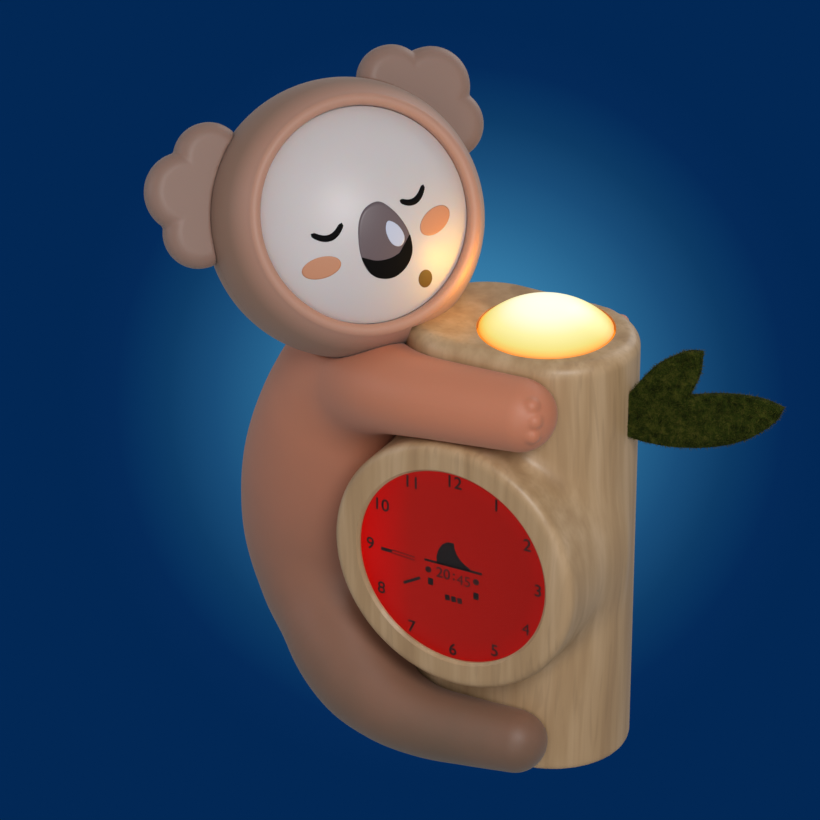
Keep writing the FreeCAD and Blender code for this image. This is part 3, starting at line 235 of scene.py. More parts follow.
def new_material(name, **constants):
    """A material with a principled shader whose inputs are the constants."""
    material = bpy.data.materials.new(name)
    material.use_nodes = True
    shader = material.node_tree.nodes["Principled BSDF"]
    for socket, value in constants.items():
        shader.inputs[socket.replace("_", " ")].default_value = value
    return material, material.node_tree, shader


def place_of(tree, size_mm, stretch=(1, 1, 1)):
    """Object coordinates scaled so that one unit is the size in millimetres, times the stretch."""
    coordinates = node(tree, "ShaderNodeTexCoord")
    scale = tuple(1 / (size_mm * MM * part) for part in stretch)
    mapping = node(tree, "ShaderNodeMapping", {"Vector": coordinates.outputs["Object"], "Scale": scale})
    return mapping.outputs["Vector"]


def beech_print():
    """Printed beech grain on satin plastic: soft vertical bands, fine fibres and thin dark pores."""
    material, tree, shader = new_material("printed_beech_grain", Roughness=0.4)
    wide = place_of(tree, 45, (1, 1, 2.5))
    sway = node(tree, "ShaderNodeTexNoise", {"Vector": wide, "Scale": 1, "Detail": 2}).outputs["Color"]
    bent = node(tree, "ShaderNodeVectorMath", {0: sway, 1: (2.2, 2.2, 0)}, operation="MULTIPLY").outputs[0]

    def streaks(size_mm, length, detail):
        """Noise drawn out along the log's height, following the sway."""
        along = place_of(tree, size_mm, (1, 1, length))
        shift = node(tree, "ShaderNodeVectorMath", {0: bent, "Scale": 5 / size_mm}, operation="SCALE")
        place = node(tree, "ShaderNodeVectorMath", {0: along, 1: shift.outputs[0]}, operation="ADD")
        inputs = {"Vector": place.outputs[0], "Scale": 1, "Detail": detail}
        return node(tree, "ShaderNodeTexNoise", inputs).outputs["Fac"]

    bands = streaks(6.5, 14, 3)
    fibres = streaks(1.1, 34, 2)
    pores = streaks(1.5, 11, 0)
    broad = place_of(tree, 30, (1, 1, 1.6))
    clouds = node(tree, "ShaderNodeTexNoise", {"Vector": broad, "Scale": 1, "Detail": 1}).outputs["Fac"]
    ground = node(tree, "ShaderNodeValToRGB", {"Fac": bands}, stops=(
        (0.30, "ad8a64"), (0.45, "ba976f"), (0.60, "c6a47d"), (0.75, "cfae89")))
    fibred = node(tree, "ShaderNodeMapRange", {"Value": fibres, "From Min": 0.45, "From Max": 0.75,
                                               "To Max": 0.22})
    warmed = node(tree, "ShaderNodeMix", {"Factor": fibred.outputs[0], 6: ground.outputs["Color"],
                                          7: colour("a37f5a")}, data_type="RGBA")
    here = node(tree, "ShaderNodeMapRange", {"Value": clouds, "From Min": 0.40, "From Max": 0.62,
                                             "To Max": 0.20})
    pored = node(tree, "ShaderNodeMapRange", {"Value": pores, "From Min": 0.60, "From Max": 0.70})
    both = node(tree, "ShaderNodeMath", {0: here.outputs[0], 1: pored.outputs[0]}, operation="MULTIPLY")
    tinted = node(tree, "ShaderNodeMix", {"Factor": both.outputs[0], 6: warmed.outputs[2],
                                          7: colour("8a6c4c")}, data_type="RGBA")
    tree.links.new(tinted.outputs[2], shader.inputs["Base Color"])
    relief = node(tree, "ShaderNodeBump", {"Height": fibres, "Strength": 0.15, "Distance": 0.04 * MM})
    tree.links.new(relief.outputs["Normal"], shader.inputs["Normal"])
    return material


wood = beech_print()
trunk_low, trunk_high = at_node("trunk_housing")
TRUNK_RADIUS = trunk_high.y
TRUNK_X = -7.5
HALF_SPAN = 11.5
TRUNK_WALL = 2.2
TOP_WALL = 2.4
EDGE_ROUND = 4.0
FOOT_ROUND = 1.2
DIAL_X = -11.1
DIAL_Z = 68.0
DIAL_RADIUS = 30.0
DRUM_RADIUS = 38.5
DRUM_FRONT = trunk_low.y
DRUM_EDGE = 2.6
DRUM_FILLET = 5.0
RECESS = 1.4


def tube_field(axis_distance, radius, along, start, end, edge):
    """A solid cylinder's field with a rounded rim."""
    side = axis_distance - (radius - edge)
    ends = np.maximum(start - along, along - end) + edge
    outside = np.sqrt(np.maximum(side, 0) ** 2 + np.maximum(ends, 0) ** 2)
    return outside + np.minimum(np.maximum(side, ends), 0) - edge


def trunk_field(x, y, z, grow=0.0):
    """The trunk and its drum; grow moves the surface outwards."""
    from_core = np.sqrt(np.maximum(np.abs(x - TRUNK_X) - HALF_SPAN, 0) ** 2 + y ** 2)
    log = tube_field(from_core, TRUNK_RADIUS, z, trunk_low.z, trunk_high.z, EDGE_ROUND)
    foot = tube_field(from_core, TRUNK_RADIUS, z, trunk_low.z, trunk_high.z - 20, FOOT_ROUND)
    log = np.where(z < DIAL_Z, foot, log)
    from_dial = np.sqrt((x - DIAL_X) ** 2 + (z - DIAL_Z) ** 2)
    drum = tube_field(from_dial, DRUM_RADIUS, y, DRUM_FRONT, 0, DRUM_EDGE)
    return joined(log, drum, DRUM_FILLET) - grow


margin = Vector((2, 2, 2))
step = 0.8
low = trunk_low - margin
x, y, z = cells(low, trunk_high + margin, step)
trunk = skin("trunk_shell", trunk_field(x, y, z), low, step)

upright = Matrix.Rotation(math.radians(90), 4, "X")
facing = Matrix.Translation((DIAL_X, DRUM_FRONT, DIAL_Z)) @ upright
HOLLOW_END = DRUM_FRONT + 12
DRUM_INSIDE = DRUM_RADIUS - TRUNK_WALL
dial_hole = moved(lathe("dial_hole", [
    (0, 2), (DIAL_RADIUS + 2.8, 2), (DIAL_RADIUS + 0.8, 0), (DIAL_RADIUS, -0.8), (DIAL_RADIUS, -RECESS),
    (DRUM_INSIDE, -RECESS), (DRUM_INSIDE, HOLLOW_END), (0, HOLLOW_END)]), facing)
inside = prism("inside", oblong(TRUNK_RADIUS - TRUNK_WALL, HALF_SPAN, TRUNK_X), trunk_low.z - 3,
               trunk_high.z - TOP_WALL)
DOME_RADIUS = 19.0
DOME_HOLE = 19.6
light_hole = lathe("light_hole", [(0, trunk_high.z - 5), (DOME_HOLE, trunk_high.z - 5),
                                  (DOME_HOLE, trunk_high.z + 3), (0, trunk_high.z + 3)])
trunk_cuts = [dial_hole, inside, light_hole]
BACK_INSIDE, BACK_OUTSIDE = 19, 26
DOOR_HALF_WIDTH = 12.25
DOOR_LOW, DOOR_HIGH = 28.55, 82.05
trunk_cuts.append(block("door_hole", (TRUNK_X - DOOR_HALF_WIDTH, BACK_INSIDE, DOOR_LOW),
                        (TRUNK_X + DOOR_HALF_WIDTH, BACK_OUTSIDE, DOOR_HIGH)))
KEY_HOLE = 3.15
KEY_HOLE_Y = 22
for button in ("hour_button", "minute_button", "alarm_button", "light_button"):
    button_low, button_high = at_node(button)
    middle = (button_low + button_high) / 2
    key_hole = lathe(button + "_hole", [(0, -4), (KEY_HOLE, -4), (KEY_HOLE, 4), (0, 4)], 48)
    trunk_cuts.append(moved(key_hole, Matrix.Translation((middle.x, KEY_HOLE_Y, middle.z)) @ upright))
SLOT_HALF_LENGTH = 4.2
SLOT_HALF_HEIGHT = 1.6
slide_low, slide_high = at_node("slide_knob")
slide_z = (slide_low.z + slide_high.z) / 2
trunk_cuts.append(block("slide_hole", (TRUNK_X - SLOT_HALF_LENGTH, BACK_INSIDE, slide_z - SLOT_HALF_HEIGHT),
                        (TRUNK_X + SLOT_HALF_LENGTH, BACK_OUTSIDE, slide_z + SLOT_HALF_HEIGHT)))
carved(trunk, trunk_cuts, 30)
trunk.data.materials.append(wood)
sit(trunk, "case", "trunk_wood_effect", "trunk_housing")

# Dial window and display: a clear lens in the drum, over a red-lit screen with black segments.
# The lens sits under the drum's lip, and the screen is clamped behind it by the frame.
GRAIN_DEPTH_MM = 0.02


def plain(name, code, roughness, grain_mm=0.0, **constants):
    """A moulded or painted surface of one colour, with a fine grain where a size is given."""
    material, tree, shader = new_material(name, Base_Color=colour(code), Roughness=roughness, **constants)
    if grain_mm:
        place = place_of(tree, grain_mm)
        grain = node(tree, "ShaderNodeTexNoise", {"Vector": place, "Scale": 1, "Detail": 2}).outputs["Fac"]
        relief = node(tree, "ShaderNodeBump", {"Height": grain, "Strength": 0.3,
                                               "Distance": GRAIN_DEPTH_MM * MM})
        tree.links.new(relief.outputs["Normal"], shader.inputs["Normal"])
    return material


clear_lens = plain("clear_acrylic", "ffffff", 0.03, Transmission_Weight=1.0, IOR=1.12)
LENS_BACK = DRUM_FRONT + RECESS + 1.2
LENS_RADIUS = 32.4
lens = lathe("dial_lens", [(0, -RECESS), (LENS_RADIUS, -RECESS), (LENS_RADIUS, DRUM_FRONT - LENS_BACK),
                           (0, DRUM_FRONT - LENS_BACK)])
moved(lens, facing)
settled(lens, 30)
lens.data.materials.append(clear_lens)
sit(lens, "case", "window_clear", "dial_window")


def red_screen():
    """A red edge-lit screen: brightest at the left rim, a little darker to the lower right."""
    material, tree, shader = new_material("red_lit_screen", Base_Color=colour("240201"), Roughness=0.8,
                                          Specular_IOR_Level=0.1)
    place = node(tree, "ShaderNodeTexCoord").outputs["Object"]
    parts = node(tree, "ShaderNodeSeparateXYZ", {0: place})
    across = node(tree, "ShaderNodeMapRange", {
        "Value": parts.outputs["X"], "From Min": (DIAL_X - DIAL_RADIUS) * MM,
        "From Max": (DIAL_X + DIAL_RADIUS) * MM})
    middle = Vector((DIAL_X, LENS_BACK, DIAL_Z)) * MM
    reach = node(tree, "ShaderNodeVectorMath", {0: place, 1: middle}, operation="DISTANCE")
    rim = node(tree, "ShaderNodeMapRange", {"Value": reach.outputs["Value"], "From Min": 24 * MM,
                                            "From Max": 30.5 * MM, "To Max": 0.55})
    left = node(tree, "ShaderNodeValToRGB", {"Fac": across.outputs[0]}, stops=(
        (0.0, "e00400"), (0.10, "c20c08"), (0.26, "a4160f"), (1.0, "96120c")))
    glow = node(tree, "ShaderNodeMix", {"Factor": rim.outputs[0], 6: left.outputs["Color"],
                                        7: colour("b00a06")}, data_type="RGBA")
    tree.links.new(glow.outputs[2], shader.inputs["Emission Color"])
    shader.inputs["Emission Strength"].default_value = 0.8
    return material


nodes["lcd_panel"].data.materials.clear()
nodes["lcd_panel"].data.materials.append(red_screen())
segment_black = plain("black_segments", "120404", 0.6)
segment_dim = plain("unlit_segments", "3a0605", 0.6)
SEGMENT_Y = LENS_BACK + 0.25
PRINT_DEPTH = 0.06


def print_on_dial(name, outline, material):
    """A thin flat print from an outline of (right, up) millimetres about the dial's centre."""
    item = prism(name, outline, 0, PRINT_DEPTH)
    moved(item, Matrix.Translation((DIAL_X, SEGMENT_Y, DIAL_Z)) @ upright)
    item.data.shade_flat()
    item.data.materials.append(material)
    sit(item, "case", "inner_black")


TEXT_SHARE = 1.38
TEXT_WEIGHT = 0.06


def lettered(name, text, size_mm, right, up, material):
    """A number as a thin print, centred on a point of the dial."""
    curve = bpy.data.curves.new(name, "FONT")
    curve.body = text
    curve.size = size_mm * MM * TEXT_SHARE
    curve.align_x = "CENTER"
    curve.align_y = "CENTER"
    curve.extrude = 0.02 * MM
    curve.offset = 0 if "4" in text else TEXT_WEIGHT * MM
    letters = bpy.data.objects.new(name + "_curve", curve)
    bpy.context.scene.collection.objects.link(letters)
    bpy.context.view_layer.update()
    mesh = bpy.data.meshes.new_from_object(letters.evaluated_get(bpy.context.evaluated_depsgraph_get()))
    bpy.data.objects.remove(letters)
    item = bpy.data.objects.new(name, mesh)
    bpy.context.scene.collection.objects.link(item)
    moved(item, Matrix.Translation((DIAL_X + right, SEGMENT_Y, DIAL_Z + up)) @ upright)
    item.data.materials.clear()
    item.data.materials.append(material)
    sit(item, "case", "inner_black")


NUMERAL_RADIUS = 27.2
NUMERAL_SIZE = 3.9
DIGIT_SIZE = 3.4
for hour in range(1, 13):
    angle = math.radians(90 - 30 * hour)
    lettered("hour_%02d" % hour, str(hour), NUMERAL_SIZE, NUMERAL_RADIUS * math.cos(angle) - 0.4,
             NUMERAL_RADIUS * math.sin(angle) - 0.9, segment_black)

print_on_dial("horizon", [(-9.8, -1.3), (8.9, -0.9), (8.9, -0.1), (-9.8, -0.6)], segment_black)
hill = [(-5.6, -0.9), (-5.9, 1.0), (-5.3, 3.4), (-4.0, 5.6), (-2.2, 6.8), (-0.2, 6.9), (0.0, 5.2),
        (0.7, 3.5), (1.9, 2.0), (3.4, 0.9), (4.9, 0.2), (5.2, -0.6)]
print_on_dial("sinking_moon", hill, segment_black)
lettered("set_hour", "20", DIGIT_SIZE, -3.7, -4.0, segment_dim)
lettered("set_minute", "45", DIGIT_SIZE, 3.0, -4.6, segment_dim)
COLON_DOT = 0.6
for number, (right, up) in enumerate(((-0.5, -3.5), (-0.5, -5.1))):
    far, top = right + COLON_DOT, up + COLON_DOT
    print_on_dial("colon_%d" % number, [(right, up), (far, up), (far, top), (right, top)], segment_black)


def bar(name, start, end, width, material):
    """A bar between two points of the dial."""
    start, end = Vector(start), Vector(end)
    side = (end - start).normalized().orthogonal() * width / 2
    print_on_dial(name, [start - side, end - side, end + side, start + side], material)


bar("minute_tip", (-24.0, -1.4), (-20.4, -1.4), 1.1, segment_black)
for number, rise in enumerate((0.5, -0.5)):
    bar("minute_edge_%d" % number, (-20.4, -1.4 + rise), (-13.0, -1.7 + rise), 0.28, segment_black)
bar("hour_hand", (-16.6, -10.6), (-11.2, -7.4), 0.9, segment_black)
for number, (right, up) in enumerate(((-8.6, -7.6), (6.2, -8.2))):
    bar("level_%d" % number, (right, up), (right + 1.7, up), 2.2, segment_black)
for number, (right, up) in enumerate(((-8.5, -3.9), (7.0, -3.6))):
    ring = [(right + math.cos(turn * math.pi / 8), up + math.sin(turn * math.pi / 8)) for turn in range(16)]
    print_on_dial("mode_dot_%d" % number, ring, segment_dim)
for number, right in enumerate((-3.0, -1.0, 1.0)):
    bar("battery_cell_%d" % number, (right, -11.4), (right + 1.5, -11.2), 1.8,
        segment_dim if number == 2 else segment_black)

# Night light: a dome of milky plastic over warm diodes, in a round hole in the trunk's top. Its flange
# is caught under the top wall and stands on a soft pad, so that the whole dome is pressed as a key.
DOME_RISE = 8.0
DOME_WALL = 1.6


def lit_dome():
    """Milky plastic lit by warm diodes: near white in the middle, amber round the foot."""
    material, tree, shader = new_material("lit_milky_dome", Base_Color=colour("8a8060"), Roughness=0.35)
    parts = node(tree, "ShaderNodeSeparateXYZ", {0: node(tree, "ShaderNodeTexCoord").outputs["Object"]})
    rise = node(tree, "ShaderNodeMapRange", {"Value": parts.outputs["Z"], "From Min": trunk_high.z * MM,
                                             "From Max": (trunk_high.z + DOME_RISE) * MM})
    glow = node(tree, "ShaderNodeValToRGB", {"Fac": rise.outputs[0]}, stops=(
        (0.0, "ff8c10"), (0.06, "f0b428"), (0.2, "e6d468"), (0.5, "f2ea9c"), (0.85, "fffce4"), (1.0, "fffff0")))
    tree.links.new(glow.outputs["Color"], shader.inputs["Emission Color"])
    shader.inputs["Emission Strength"].default_value = 0.92
    return material


def cap_points(radius, height, rise, steps=24):
    """A spherical cap's meridian, from the pole down to its rim at the height."""
    ball = (radius ** 2 + rise ** 2) / (2 * rise)
    reach = math.asin(radius / ball)
    angles = [reach * number / steps for number in range(steps + 1)]
    return [(ball * math.sin(angle), height + rise - ball + ball * math.cos(angle)) for angle in angles]


FLANGE_RADIUS = 20.3
FLANGE_TOP = trunk_high.z - 2.6
dome_foot = at_node("night_light_dome")[0].z
dome_outer = cap_points(DOME_RADIUS, trunk_high.z, DOME_RISE)
dome_inner = cap_points(DOME_RADIUS - DOME_WALL, trunk_high.z, DOME_RISE - DOME_WALL)
flange = [(DOME_RADIUS, FLANGE_TOP), (FLANGE_RADIUS, FLANGE_TOP), (FLANGE_RADIUS, dome_foot),
          (DOME_RADIUS - DOME_WALL, dome_foot)]
dome = lathe("milky_dome", dome_outer + flange + dome_inner[::-1])
settled(dome)
dome.data.materials.append(lit_dome())
sit(dome, "dome", "dome_opal", "night_light_dome")

# Return pad: a ring of soft grey rubber that stands on the light deck, under the dome's flange. A
# pressed dome squeezes it to about half its height with its foot in place; it is built here at rest.
pad_low, pad_high = at_node("dome_return_pad")
PAD_EDGE = 0.4
PAD_WIDTH = 1.6
pad_outer, pad_inner = pad_high.x, pad_high.x - PAD_WIDTH
pad_foot, pad_top = pad_low.z, pad_high.z - 0.02
pad = lathe("soft_return_pad", [
    (pad_inner, pad_foot + PAD_EDGE), (pad_inner + PAD_EDGE, pad_foot), (pad_outer - PAD_EDGE, pad_foot),
    (pad_outer, pad_foot + PAD_EDGE), (pad_outer, pad_high.z - PAD_EDGE), (pad_outer - PAD_EDGE, pad_top),
    (pad_inner + PAD_EDGE, pad_top), (pad_inner, pad_high.z - PAD_EDGE)], 96)
settled(pad, 30)
pad.data.materials.append(plain("pad_rubber", "3a3a3c", 0.8, 0.6))
sit(pad, "case", "rubber", "dome_return_pad")
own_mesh(pad)

# Koala body: soft-touch moulded plastic in two halves that meet on the middle plane. The back is a
# full curve, the arm and leg reach forward over the trunk, and both halves are screwed to it.


def soft_touch(name, warm, cool, painted_shade, lip=None):
    """Matte soft-touch plastic with a fine orange peel; its colour is graded by height as painted shade, warm
    above and greyer and darker towards the feet.
    """
    material, tree, shader = new_material(name, Roughness=0.5, Sheen_Weight=0.12, Sheen_Roughness=0.5,
                                          Subsurface_Weight=0.06, Subsurface_Scale=0.002)
    place = node(tree, "ShaderNodeTexCoord").outputs["Object"]
    parts = node(tree, "ShaderNodeSeparateXYZ", {0: place})
    rise = node(tree, "ShaderNodeMapRange", {"Value": parts.outputs["Z"], "From Max": 190 * MM})
    mottle = node(tree, "ShaderNodeTexNoise", {"Vector": place_of(tree, 22), "Scale": 1, "Detail": 3})
    drift = node(tree, "ShaderNodeMapRange", {"Value": mottle.outputs["Fac"], "To Min": -0.06, "To Max": 0.06})
    level = node(tree, "ShaderNodeMath", {0: rise.outputs[0], 1: drift.outputs[0]}, operation="ADD")
    # Painted shade: darkest at the feet, grey in the middle and warm at the top, its border shifted a little by
    # the mottle.
    tint = node(tree, "ShaderNodeValToRGB", {"Fac": level.outputs[0]}, stops=(
        (0.02, painted_shade), (0.34, cool), (0.62, warm), (1.0, warm))).outputs["Color"]
    if lip:
        middle = head_matrix @ Vector((0, 0, 18)) * MM
        reach = node(tree, "ShaderNodeVectorMath", {0: place, 1: middle}, operation="DISTANCE")
        share = node(tree, "ShaderNodeMapRange", {"Value": reach.outputs["Value"], "From Min": 34.6 * MM,
                                                  "From Max": 38.5 * MM})
        tint = node(tree, "ShaderNodeMix", {"Factor": share.outputs[0], 6: colour(lip), 7: tint},
                    data_type="RGBA").outputs[2]
    tree.links.new(tint, shader.inputs["Base Color"])
    peel = node(tree, "ShaderNodeTexNoise", {"Vector": place_of(tree, 0.7), "Scale": 1, "Detail": 2})
    relief = node(tree, "ShaderNodeBump", {"Height": peel.outputs["Fac"], "Strength": 0.15,
                                           "Distance": 0.03 * MM})
    tree.links.new(relief.outputs["Normal"], shader.inputs["Normal"])
    return material


# The body's colours: warm top, grey middle and darker painted shade at the feet.
koala_skin = soft_touch("soft_touch_terracotta", "cc7f5e", "b07258", "6f5846")
FOOT = trunk_low.z
BELLY_X = -38.0
TORSO_DEPTH = 60.8
TORSO_HALF_WIDTH = 24.5
TORSO_LOW = FOOT + 2.5
TORSO_TOP = FOOT + 122.0
LIMB_Y = -27.0
PAW_X = 6.5
ARM_Z = FOOT + 117.5
LEG_Z = FOOT + 11.5

# Levels of the torso as shares: of the height, of the depth at the back and belly, and of the width.
TORSO = np.array((
    (0.000, 0.450, 0.130, 0.300), (0.017, 0.580, 0.060, 0.560), (0.054, 0.695, 0.025, 0.740),
    (0.121, 0.803, 0.010, 0.860), (0.213, 0.902, 0.000, 0.940), (0.331, 0.980, 0.000, 0.985),
    (0.464, 1.000, 0.000, 1.000), (0.598, 0.970, 0.000, 0.980), (0.715, 0.900, 0.000, 0.939),
    (0.816, 0.812, 0.009, 0.878), (0.900, 0.715, 0.035, 0.796), (0.967, 0.600, 0.106, 0.612),
    (1.000, 0.480, 0.213, 0.327)))
# Limb stations: how far back from the tip, inward, inward along the height, and the radius.
ARM = np.array((
    (0, 0, 0, 10.5), (15, -0.5, 1, 11.0), (33, 1, 3, 11.9), (46, 6, 6, 13.4), (57, 14, 11, 15.2),
    (66, 22, 18, 16.5)))
LEG = np.array((
    (0, 0, 0, 9.4), (14, -1.5, -0.6, 10.0), (28, -2.5, -0.8, 10.8), (42, -1, 1.4, 12.6), (54, 4, 6, 15.4),
    (64, 11, 13, 17.4), (72, 18, 21, 17.8)))


def eased(table, at):
    """The table's rows read smoothly at the values of its first column."""
    keys = table[:, 0]
    slopes = np.gradient(table[:, 1:], keys, axis=0)
    place = np.clip(np.searchsorted(keys, at, side="right") - 1, 0, len(keys) - 2)
    span = keys[place + 1] - keys[place]
    t = ((at - keys[place]) / span)[:, None]
    first, last = table[place, 1:], table[place + 1, 1:]
    return ((2 * t ** 3 - 3 * t ** 2 + 1) * first + (t ** 3 - 2 * t ** 2 + t) * slopes[place] * span[:, None]
            + (3 * t ** 2 - 2 * t ** 3) * last + (t ** 3 - t ** 2) * slopes[place + 1] * span[:, None])


def torso_field(x, y, z):
    """The back and belly, from level ovals."""
    share = np.clip((z.ravel() - TORSO_LOW) / (TORSO_TOP - TORSO_LOW), 0, 1)
    back, belly, width = eased(TORSO, share).T
    back = (BELLY_X - TORSO_DEPTH * back)[None, None, :]
    belly = (BELLY_X - TORSO_DEPTH * belly)[None, None, :]
    half_depth = (belly - back) / 2
    half_width = (TORSO_HALF_WIDTH * width)[None, None, :]
    reach = np.sqrt(((x - (back + belly) / 2) / half_depth) ** 2 + (y / half_width) ** 2)
    level = (reach - 1) * np.minimum(half_depth, half_width)
    return np.maximum(level, np.maximum(TORSO_LOW - z, z - TORSO_TOP))


def limb_field(x, y, z, stations, tip_x, tip_z, inward, side):
    """A limb as a run of balls along its path; side is -1 for the dial's side and 1 for the rear."""
    backs = np.linspace(0, stations[-1, 0], 56)
    rows = eased(stations, backs)
    field = None
    for back, (in_step, height_step, radius) in zip(backs, rows):
        ball = np.sqrt((x - tip_x + back) ** 2 + (y + side * (LIMB_Y + in_step)) ** 2
                       + (z - tip_z - inward * height_step) ** 2) - radius
        field = ball if field is None else np.minimum(field, ball)
    return field


step = 0.6
body_low = np.array((-100.5, -41.0, FOOT - 1.5))
body_high = np.array((20.0, 41.0, FOOT + 132.0))
x, y, z = cells(body_low, body_high, step)
body = torso_field(x, y, z)
FINGERS = ((40, 54), (14, 54), (-12, 50))
FINGER_RADIUS = 2.6
FINGER_PROUD = 1.2
finger_reach = ARM[0, 3] + FINGER_PROUD - FINGER_RADIUS
REAR_SHORT = 4.5
REAR_LOW = 2.5
for side, tip_x, arm_z in ((-1, PAW_X, ARM_Z), (1, PAW_X - REAR_SHORT, ARM_Z - REAR_LOW)):
    arm = limb_field(x, y, z, ARM, tip_x, arm_z, -1, side)
    leg = limb_field(x, y, z, LEG, tip_x, LEG_Z, 1, side)
    for rise, turn in FINGERS:
        flat = math.cos(math.radians(rise))
        away = Vector((math.sin(math.radians(turn)) * flat, math.cos(math.radians(turn)) * flat * side,
                       math.sin(math.radians(rise))))
        tip = Vector((tip_x, -LIMB_Y * side, arm_z)) + away * finger_reach
        finger = np.sqrt((x - tip.x) ** 2 + (y - tip.y) ** 2 + (z - tip.z) ** 2) - FINGER_RADIUS
        arm = joined(arm, finger, 0.5)
    body = joined(body, joined(arm, leg, 3.0), 6.0)
TRUNK_GAP = 0.12
HEAD_GAP = 0.1
body = without(body, trunk_field(x, y, z, TRUNK_GAP), 1.0)

HEAD_RADIUS = 39.8
HEAD_FRONT = 36.0
HEAD_REAR = 39.5
HEAD_MEAN = 37.0
HEAD_PLACE = (-62.1, -5.1, FOOT + 152.5)
HEAD_TURN, HEAD_TILT, HEAD_ROLL = 50.7, 26.2, 14
head_matrix = (Matrix.Translation(HEAD_PLACE) @ Matrix.Rotation(math.radians(HEAD_TURN), 4, "Z")
               @ Matrix.Rotation(math.radians(90 - HEAD_TILT), 4, "X")
               @ Matrix.Rotation(math.radians(HEAD_ROLL), 4, "Z"))


def in_head(x, y, z):
    """Coordinates in the head's own frame: right, up, and out through the face."""
    back = head_matrix.inverted()
    return [back[row][0] * x + back[row][1] * y + back[row][2] * z + back[row][3] for row in range(3)]


def head_field(x, y, z, grow=0.0):
    """The head's oval ball; grow moves the surface outwards."""
    right, up, out = in_head(x, y, z)
    depth = np.where(out > 0, HEAD_FRONT, HEAD_REAR)
    return (np.sqrt((right ** 2 + up ** 2) / HEAD_RADIUS ** 2 + (out / depth) ** 2) - 1) * HEAD_MEAN - grow


body = without(body, head_field(x, y, z, HEAD_GAP), 0.6)
SEAM = 0.07
for side, name in ((-1, "koala_front_shell"), (1, "koala_rear_shell")):
    half = np.maximum(body, SEAM - side * y)
    shell = skin(name.replace("shell", "half"), half, body_low, step)
    shell.data.set_sharp_from_angle(angle=math.radians(50))
    shell.data.materials.append(koala_skin)
    sit(shell, "case", "koala_skin", name)

# Koala head: a ball of the same soft-touch plastic in two shells that meet at its widest circle. It sits
# on the neck post, above the back. The front shell ends in a raised soft lip round the face.


def meridian(radius, depth, start, end, steps=28):
    """Points (radius, height) along the head's oval; the angle runs from the widest circle to the pole."""
    angles = [math.radians(start + (end - start) * n / steps) for n in range(steps + 1)]
    return [(radius * math.cos(angle), depth * math.sin(angle)) for angle in angles]


HEAD_WALL = 2.2
FACE_RADIUS = 30.6
LIP_OUTER = FACE_RADIUS + 3.6
LIP_RISE = 1.5
lip_angle = math.degrees(math.acos(LIP_OUTER / HEAD_RADIUS))
LIP_LEVEL = HEAD_FRONT * math.sin(math.radians(lip_angle))
SEAT_LEVEL = LIP_LEVEL - 3.4
lip_middle = (LIP_OUTER + FACE_RADIUS) / 2
lip_half = (LIP_OUTER - FACE_RADIUS) / 2
lip_angles = [math.radians(turn) for turn in range(20, 181, 10)]
lip = [(lip_middle + lip_half * math.cos(angle), LIP_LEVEL + LIP_RISE * math.sin(angle))
       for angle in lip_angles]
inner_radius = HEAD_RADIUS - HEAD_WALL
# The head's colours: warm top, grey middle and darker painted shade lower down, with a pinker lip.
head_skin = soft_touch("soft_touch_head", "96705a", "8f6850", "7f5a42", lip="bd8c76")
front_shell = lathe("head_front", meridian(HEAD_RADIUS, HEAD_FRONT, 0.1, lip_angle - 2) + lip
                    + [(FACE_RADIUS, SEAT_LEVEL), (inner_radius - 3.0, SEAT_LEVEL)]
                    + meridian(inner_radius, HEAD_FRONT - HEAD_WALL, 20, 0.1), 220)
rear_shell = lathe("head_rear", meridian(HEAD_RADIUS, -HEAD_REAR, 0.1, 90)
                   + meridian(inner_radius, HEAD_WALL - HEAD_REAR, 90, 0.1), 220)
for item, name in ((front_shell, "head_front_shell"), (rear_shell, "head_rear_shell")):
    moved(item, head_matrix)
    post = prism("trunk_space", oblong(TRUNK_RADIUS + 0.08, HALF_SPAN, TRUNK_X, 96), 0, trunk_high.z + 0.05)
    carved(item, [post], 40)
    item.data.materials.append(head_skin)
    sit(item, "case", "koala_skin", name)

# Face: a domed plate of satin white plastic, held behind the lip by its flange. Nose, muzzle, cheeks,
# mouth and the closed eyes are printed on it as thin films of five inks.
face_white = plain("satin_face_white", "d6cccb", 0.42, Subsurface_Weight=0.2, Subsurface_Scale=0.003,
                   Coat_Weight=0.25, Coat_Roughness=0.45)
PLATE_RADIUS = FACE_RADIUS - 0.2
FACE_BULGE = 11.0
RIM_LEVEL = SEAT_LEVEL + 1.7
PLATE_BALL = (PLATE_RADIUS ** 2 + FACE_BULGE ** 2) / (2 * FACE_BULGE)
PLATE_WALL = 2
PLATE_INSIDE = 28.2
PLATE_FLANGE = FACE_RADIUS + 1.5
plate_foot = SEAT_LEVEL - PLATE_WALL
plate = lathe("face_dome", cap_points(PLATE_RADIUS, RIM_LEVEL, FACE_BULGE, 40)
              + [(PLATE_RADIUS, SEAT_LEVEL), (PLATE_FLANGE, SEAT_LEVEL), (PLATE_FLANGE, plate_foot),
                 (PLATE_INSIDE, plate_foot)]
              + cap_points(PLATE_RADIUS - PLATE_WALL, RIM_LEVEL - PLATE_WALL, FACE_BULGE, 40)[::-1], 200)
moved(plate, head_matrix)
settled(plate, 30)
plate.data.materials.append(face_white)
sit(plate, "case", "face_white", "face_plate")


def curve_part(before, here, after, beyond, steps):
    """Points of a smooth curve (Catmull-Rom) from here to just before the one after."""
    points = []
    for number in range(steps):
        t = number / steps
        points.append(0.5 * (2 * here + (after - before) * t
                             + (2 * before - 5 * here + 4 * after - beyond) * t ** 2
                             + (3 * here - before - 3 * after + beyond) * t ** 3))
    return points


def smooth_loop(corners, steps=8):
    """A closed smooth curve through the corners."""
    corners = [Vector(corner) for corner in corners]
    loop = []
    for number in range(len(corners)):
        loop += curve_part(*(corners[(number + shift) % len(corners)] for shift in (-1, 0, 1, 2)), steps)
    return loop


